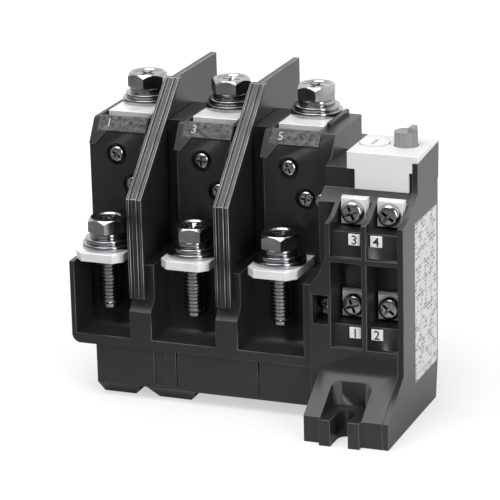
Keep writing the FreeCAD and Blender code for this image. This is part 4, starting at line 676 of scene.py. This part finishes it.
class RELAY_OT_small_screws(PieceOperator, bpy.types.Operator):
    """Make the cross recessed screws of the towers and of the control block"""
    bl_idname = "relay.small_screws"
    bl_label = "Small Screws"

    def execute(self, context):
        for node, head_height, shank in (("element_screws", 1.5 * MM, 1.2 * MM), ("aux_screws", 2.2 * MM, 1.5 * MM)):
            for number, (low, high) in enumerate(islands(node)):
                middle = (low + high) / 2
                bm = pan_screw((high.x - low.x) / 2, head_height, shank, high.y - low.y - head_height)
                bmesh.ops.rotate(bm, cent=(0, 0, 0), verts=bm.verts,
                                 matrix=Matrix.Rotation(math.radians(20 + 31 * number), 3, "Z"))
                place_on_axis(bm, (middle.x, low.y + head_height, middle.z), (0, -1, 0))
                add_piece(bm, "%s_%d" % (node, number + 1), "housing", "zinc_steel",
                          (node,) if number == 0 else (), sharp=40)
        return {"FINISHED"}


class RELAY_OT_cover(PieceOperator, bpy.types.Operator):
    """Finish the setting cover, the dial and the reset button"""
    bl_idname = "relay.cover"
    bl_label = "Cover and Controls"

    def execute(self, context):
        radius = context.scene.relay_sizes.moulding_edge
        softened_node("setting_cover", "housing", "light_cover", radius * 1.3)
        softened_node("setting_dial", "dial", "white_plastic", radius)
        softened_node("reset_button", "reset", "reset_plastic", radius * 1.3)
        softened_node("marker_tiles", "housing", "white_plastic", radius * 0.8)
        softened_node("name_plates", "housing", "name_plate", radius * 0.8)
        return {"FINISHED"}


class RELAY_OT_reset_spring(PieceOperator, bpy.types.Operator):
    """Wind the spring below the reset button"""
    bl_idname = "relay.reset_spring"
    bl_label = "Reset Spring"

    def execute(self, context):
        low, high = corners("reset_spring")
        middle, tall = (low + high) / 2, high.z - low.z
        coil_radius, steps = (high.x - low.x) / 2 - SPRING_WIRE, 24 * SPRING_TURNS
        bm = bmesh.new()
        bmesh.ops.create_circle(bm, cap_ends=False, segments=8, radius=SPRING_WIRE)
        bmesh.ops.rotate(bm, cent=(0, 0, 0), matrix=Matrix.Rotation(math.pi / 2, 3, "X"), verts=bm.verts)
        bmesh.ops.translate(bm, vec=(coil_radius, 0, SPRING_WIRE), verts=bm.verts)
        bmesh.ops.spin(bm, geom=bm.verts[:] + bm.edges[:], cent=(0, 0, 0), axis=(0, 0, 1),
                       dvec=(0, 0, (tall - 2 * SPRING_WIRE) / steps), angle=2 * math.pi * SPRING_TURNS,
                       steps=steps)
        bmesh.ops.holes_fill(bm, edges=[edge for edge in bm.edges if edge.is_boundary], sides=0)
        bmesh.ops.recalc_face_normals(bm, faces=bm.faces)
        bmesh.ops.translate(bm, vec=(middle.x, middle.y, low.z), verts=bm.verts)
        spring = add_piece(bm, "reset_spring_wound", "housing", "spring_steel", ("reset_spring",))
        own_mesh(spring)
        return {"FINISHED"}


class RELAY_OT_marks(PieceOperator, bpy.types.Operator):
    """Print plain digits on the marker tiles and the plates of the towers, and ticks round the dial"""
    bl_idname = "relay.marks"
    bl_label = "Digits and Ticks"

    def execute(self, context):
        for number, (low, high) in enumerate(islands("marker_tiles")):
            middle, face = (low + high) / 2, low.y - PRINT_LIFT
            bm = digit_mesh(str(number + 1), (high.z - low.z) * 0.82)
            join_into(bm, frame_line((high.x - low.x) * 0.84, (high.z - low.z) * 0.84, 0.22 * MM))
            stand_up(bm, (middle.x, face, middle.z))
            add_piece(bm, "tile_print_%d" % (number + 1), "housing", None, material=finish("ink"))
        for number, (low, high) in enumerate(sorted(islands("name_plates"), key=lambda pair: pair[0].x)):
            bm = digit_mesh(str(2 * number + 1), (high.z - low.z) * 0.62)
            slope = math.atan2(high.z - low.z, high.y - low.y)
            bmesh.ops.rotate(bm, cent=(0, 0, 0), verts=bm.verts, matrix=Matrix.Rotation(slope, 3, "X"))
            clear = 0.27 * MM  # from the plate's middle plane to the print
            shift = Vector((-4 * MM, -clear * math.sin(slope), clear * math.cos(slope)))
            bmesh.ops.translate(bm, vec=(low + high) / 2 + shift, verts=bm.verts)
            add_piece(bm, "tower_print_%d" % (number + 1), "housing", None, material=finish("pale_ink"))
        low, high = corners("setting_dial")
        middle, radius = (low + high) / 2, (high.x - low.x) / 2
        top = corners("setting_cover")[1].z
        bm = bmesh.new()
        for step in range(DIAL_TICKS):
            tick = bmesh.new()
            bmesh.ops.create_grid(tick, x_segments=1, y_segments=1, size=0.5)
            bmesh.ops.scale(tick, vec=(0.16 * MM, 0.7 * MM, 1), verts=tick.verts)
            bmesh.ops.translate(tick, vec=(0, radius + 0.75 * MM, 0), verts=tick.verts)
            angle = DIAL_SWEEP / 2 - DIAL_SWEEP * step / (DIAL_TICKS - 1)
            bmesh.ops.rotate(tick, cent=(0, 0, 0), verts=tick.verts,
                             matrix=Matrix.Rotation(math.radians(angle), 3, "Z"))
            join_into(bm, tick)
        bmesh.ops.translate(bm, vec=(middle.x, middle.y, top + PRINT_LIFT), verts=bm.verts)
        add_piece(bm, "dial_ticks", "housing", None, material=finish("ink"))
        return {"FINISHED"}


class RELAY_OT_plain_nodes(PieceOperator, bpy.types.Operator):
    """Give every remaining node its finish"""
    bl_idname = "relay.plain_nodes"
    bl_label = "Remaining Parts"

    def execute(self, context):
        slots = {part["node"]: part["material_slot"] for part in frame["record"]["subparts"]}
        for name, node in frame["nodes"].items():
            if node.hide_render:
                continue
            node.data.materials.clear()
            node.data.materials.append(finish(slots[name]))
        return {"FINISHED"}


class RELAY_OT_stage(PieceOperator, bpy.types.Operator):
    """Set the floor, the lamps, the surroundings and the camera"""
    bl_idname = "relay.stage"
    bl_label = "Stage"

    def execute(self, context):
        make_floor()
        make_lamps()
        make_world()
        make_camera()
        context.scene.view_settings.view_transform = "Standard"
        return {"FINISHED"}


def make_floor():
    """A broad pale floor, white to the eye, that keeps a soft shadow round the relay; to all other rays it is
    painted darker towards the front, a painted shade seen in reflections and bounced light.
    """
    bm = bmesh.new()
    bmesh.ops.create_grid(bm, x_segments=1, y_segments=1, size=6)
    mesh = bpy.data.meshes.new("floor")
    bm.to_mesh(mesh)
    bm.free()
    floor = bpy.data.objects.new("floor", mesh)
    bpy.context.scene.collection.objects.link(floor)
    material, tree, shader = blank_material("floor_paper")
    shader.inputs["Roughness"].default_value = 0.9
    shader.inputs["Specular IOR Level"].default_value = 0.0
    shader.inputs["Emission Color"].default_value = (1, 1, 1, 1)
    place, rays = add(tree, "TexCoord").outputs["Object"], add(tree, "LightPath")
    # painted shade: the floor is darker towards the front for all rays but camera rays
    behind = add(tree, "VectorMath", {0: place, 1: (0.55, 0.83, 0)}, operation="DOT_PRODUCT")
    reflected_shade = add(tree, "MapRange", {"Value": behind.outputs["Value"], "From Min": -0.12, "From Max": 0.04,
                                   "To Min": 0.22, "To Max": 0.9})
    shade = add(tree, "MapRange", {"Value": rays.outputs["Is Camera Ray"], "To Min": reflected_shade.outputs[0],
                                   "To Max": 0.42})
    tree.links.new(shade.outputs[0], shader.inputs["Base Color"])
    away = add(tree, "VectorMath", {0: place}, operation="LENGTH")
    glow = add(tree, "MapRange", {"Value": away.outputs["Value"], "From Min": 0.04, "From Max": 0.3,
                                  "To Min": 0.55, "To Max": 0.9})
    seen = add(tree, "Math", {0: rays.outputs["Is Camera Ray"], 1: glow.outputs[0]}, operation="MULTIPLY")
    tree.links.new(seen.outputs[0], shader.inputs["Emission Strength"])
    mesh.materials.append(material)


def make_lamp(name, place, target, width, height, power):
    """A soft rectangular lamp aimed at a point."""
    data = bpy.data.lights.new(name, "AREA")
    data.shape = "RECTANGLE"
    data.size, data.size_y, data.energy = width, height, power
    lamp = bpy.data.objects.new(name, data)
    lamp.location = place
    lamp.rotation_mode = "QUATERNION"
    lamp.rotation_quaternion = (Vector(target) - Vector(place)).to_track_quat("-Z", "Y")
    bpy.context.scene.collection.objects.link(lamp)


def make_lamps():
    """A large lamp above and a soft box at the right front."""
    centre = (CAD_BOX[0] + CAD_BOX[1]) / 2
    make_lamp("top_lamp", centre + Vector((-0.15, -0.25, 0.9)), centre, 0.8, 0.8, 6.5)
    make_lamp("right_lamp", centre + Vector((0.8, -0.66, 0.3)), centre, 0.32, 0.7, 4.4)


def make_world():
    """A white surround, white to the eye; in reflections it darkens towards the front; plain level as light."""
    world = bpy.data.worlds.new("surround")
    world.use_nodes = True
    tree = world.node_tree
    tree.nodes.clear()
    rays = add(tree, "LightPath")
    direction = add(tree, "TexCoord").outputs["Generated"]
    forward = add(tree, "VectorMath", {0: direction, 1: (0.1, -0.99, 0.0)}, operation="DOT_PRODUCT")
    shown = add(tree, "MapRange", {"Value": forward.outputs["Value"], "From Min": -0.2, "From Max": 0.4,
                                   "To Min": 1.0, "To Max": 0.12})
    seen = add(tree, "Math", {0: rays.outputs["Is Glossy Ray"], 1: rays.outputs["Is Transmission Ray"]},
               operation="MAXIMUM")
    light = add(tree, "MapRange", {"Value": seen.outputs[0], "To Min": 0.58, "To Max": shown.outputs[0]})
    strength = add(tree, "MapRange", {"Value": rays.outputs["Is Camera Ray"], "To Min": light.outputs[0],
                                      "To Max": 1.0})
    background = add(tree, "Background", {"Color": (1, 1, 1, 1), "Strength": strength.outputs[0]})
    output = add(tree, "OutputWorld")
    tree.links.new(background.outputs[0], output.inputs["Surface"])
    bpy.context.scene.world = world


def make_camera():
    """A long lens above and to the right of the terminals."""
    azimuth, elevation, roll = (math.radians(angle) for angle in (CAMERA_AZIMUTH, CAMERA_ELEVATION, CAMERA_ROLL))
    right = Vector((math.cos(azimuth), math.sin(azimuth), 0))
    up = Vector((-math.sin(azimuth) * math.sin(elevation), math.cos(azimuth) * math.sin(elevation),
                 math.cos(elevation)))
    back = right.cross(up)
    turned_right = right * math.cos(roll) + up * math.sin(roll)
    turned_up = up * math.cos(roll) - right * math.sin(roll)
    data = bpy.data.cameras.new("camera")
    data.sensor_width, data.lens = 36.0, CAMERA_LENS
    data.clip_start, data.clip_end = 0.05, 20
    camera = bpy.data.objects.new("camera", data)
    camera.matrix_world = Matrix.Translation(CAMERA_PLACE) @ Matrix(
        (turned_right, turned_up, back)).transposed().to_4x4()
    bpy.context.scene.collection.objects.link(camera)
    bpy.context.scene.camera = camera


class RELAY_PT_panel(bpy.types.Panel):
    bl_label = "Relay"
    bl_idname = "RELAY_PT_panel"
    bl_space_type = "VIEW_3D"
    bl_region_type = "UI"
    bl_category = "Relay"

    def draw(self, context):
        for group in (context.scene.relay_sizes, context.scene.relay_colours):
            for name in group.bl_rna.properties.keys():
                if name not in ("rna_type", "name"):
                    self.layout.prop(group, name)
        for operator in OPERATORS:
            self.layout.operator(operator.bl_idname)


OPERATORS = (
    RELAY_OT_mouldings, RELAY_OT_terminal_plates, RELAY_OT_terminal_bolts, RELAY_OT_washers,
    RELAY_OT_small_screws, RELAY_OT_cover, RELAY_OT_reset_spring, RELAY_OT_marks, RELAY_OT_plain_nodes,
    RELAY_OT_stage,
)
CLASSES = (RelaySizes, RelayColours) + OPERATORS + (RELAY_PT_panel,)


def register():
    for item in CLASSES:
        bpy.utils.register_class(item)
    bpy.types.Scene.relay_sizes = bpy.props.PointerProperty(type=RelaySizes)
    bpy.types.Scene.relay_colours = bpy.props.PointerProperty(type=RelayColours)


def unregister():
    del bpy.types.Scene.relay_colours
    del bpy.types.Scene.relay_sizes
    for item in reversed(CLASSES):
        bpy.utils.unregister_class(item)


def main():
    register()
    bpy.ops.relay.mouldings()
    bpy.ops.relay.terminal_plates()
    bpy.ops.relay.terminal_bolts()
    bpy.ops.relay.washers()
    bpy.ops.relay.small_screws()
    bpy.ops.relay.cover()
    bpy.ops.relay.reset_spring()
    bpy.ops.relay.marks()
    bpy.ops.relay.plain_nodes()
    bpy.ops.relay.stage()


if __name__ == "__main__":
    main()
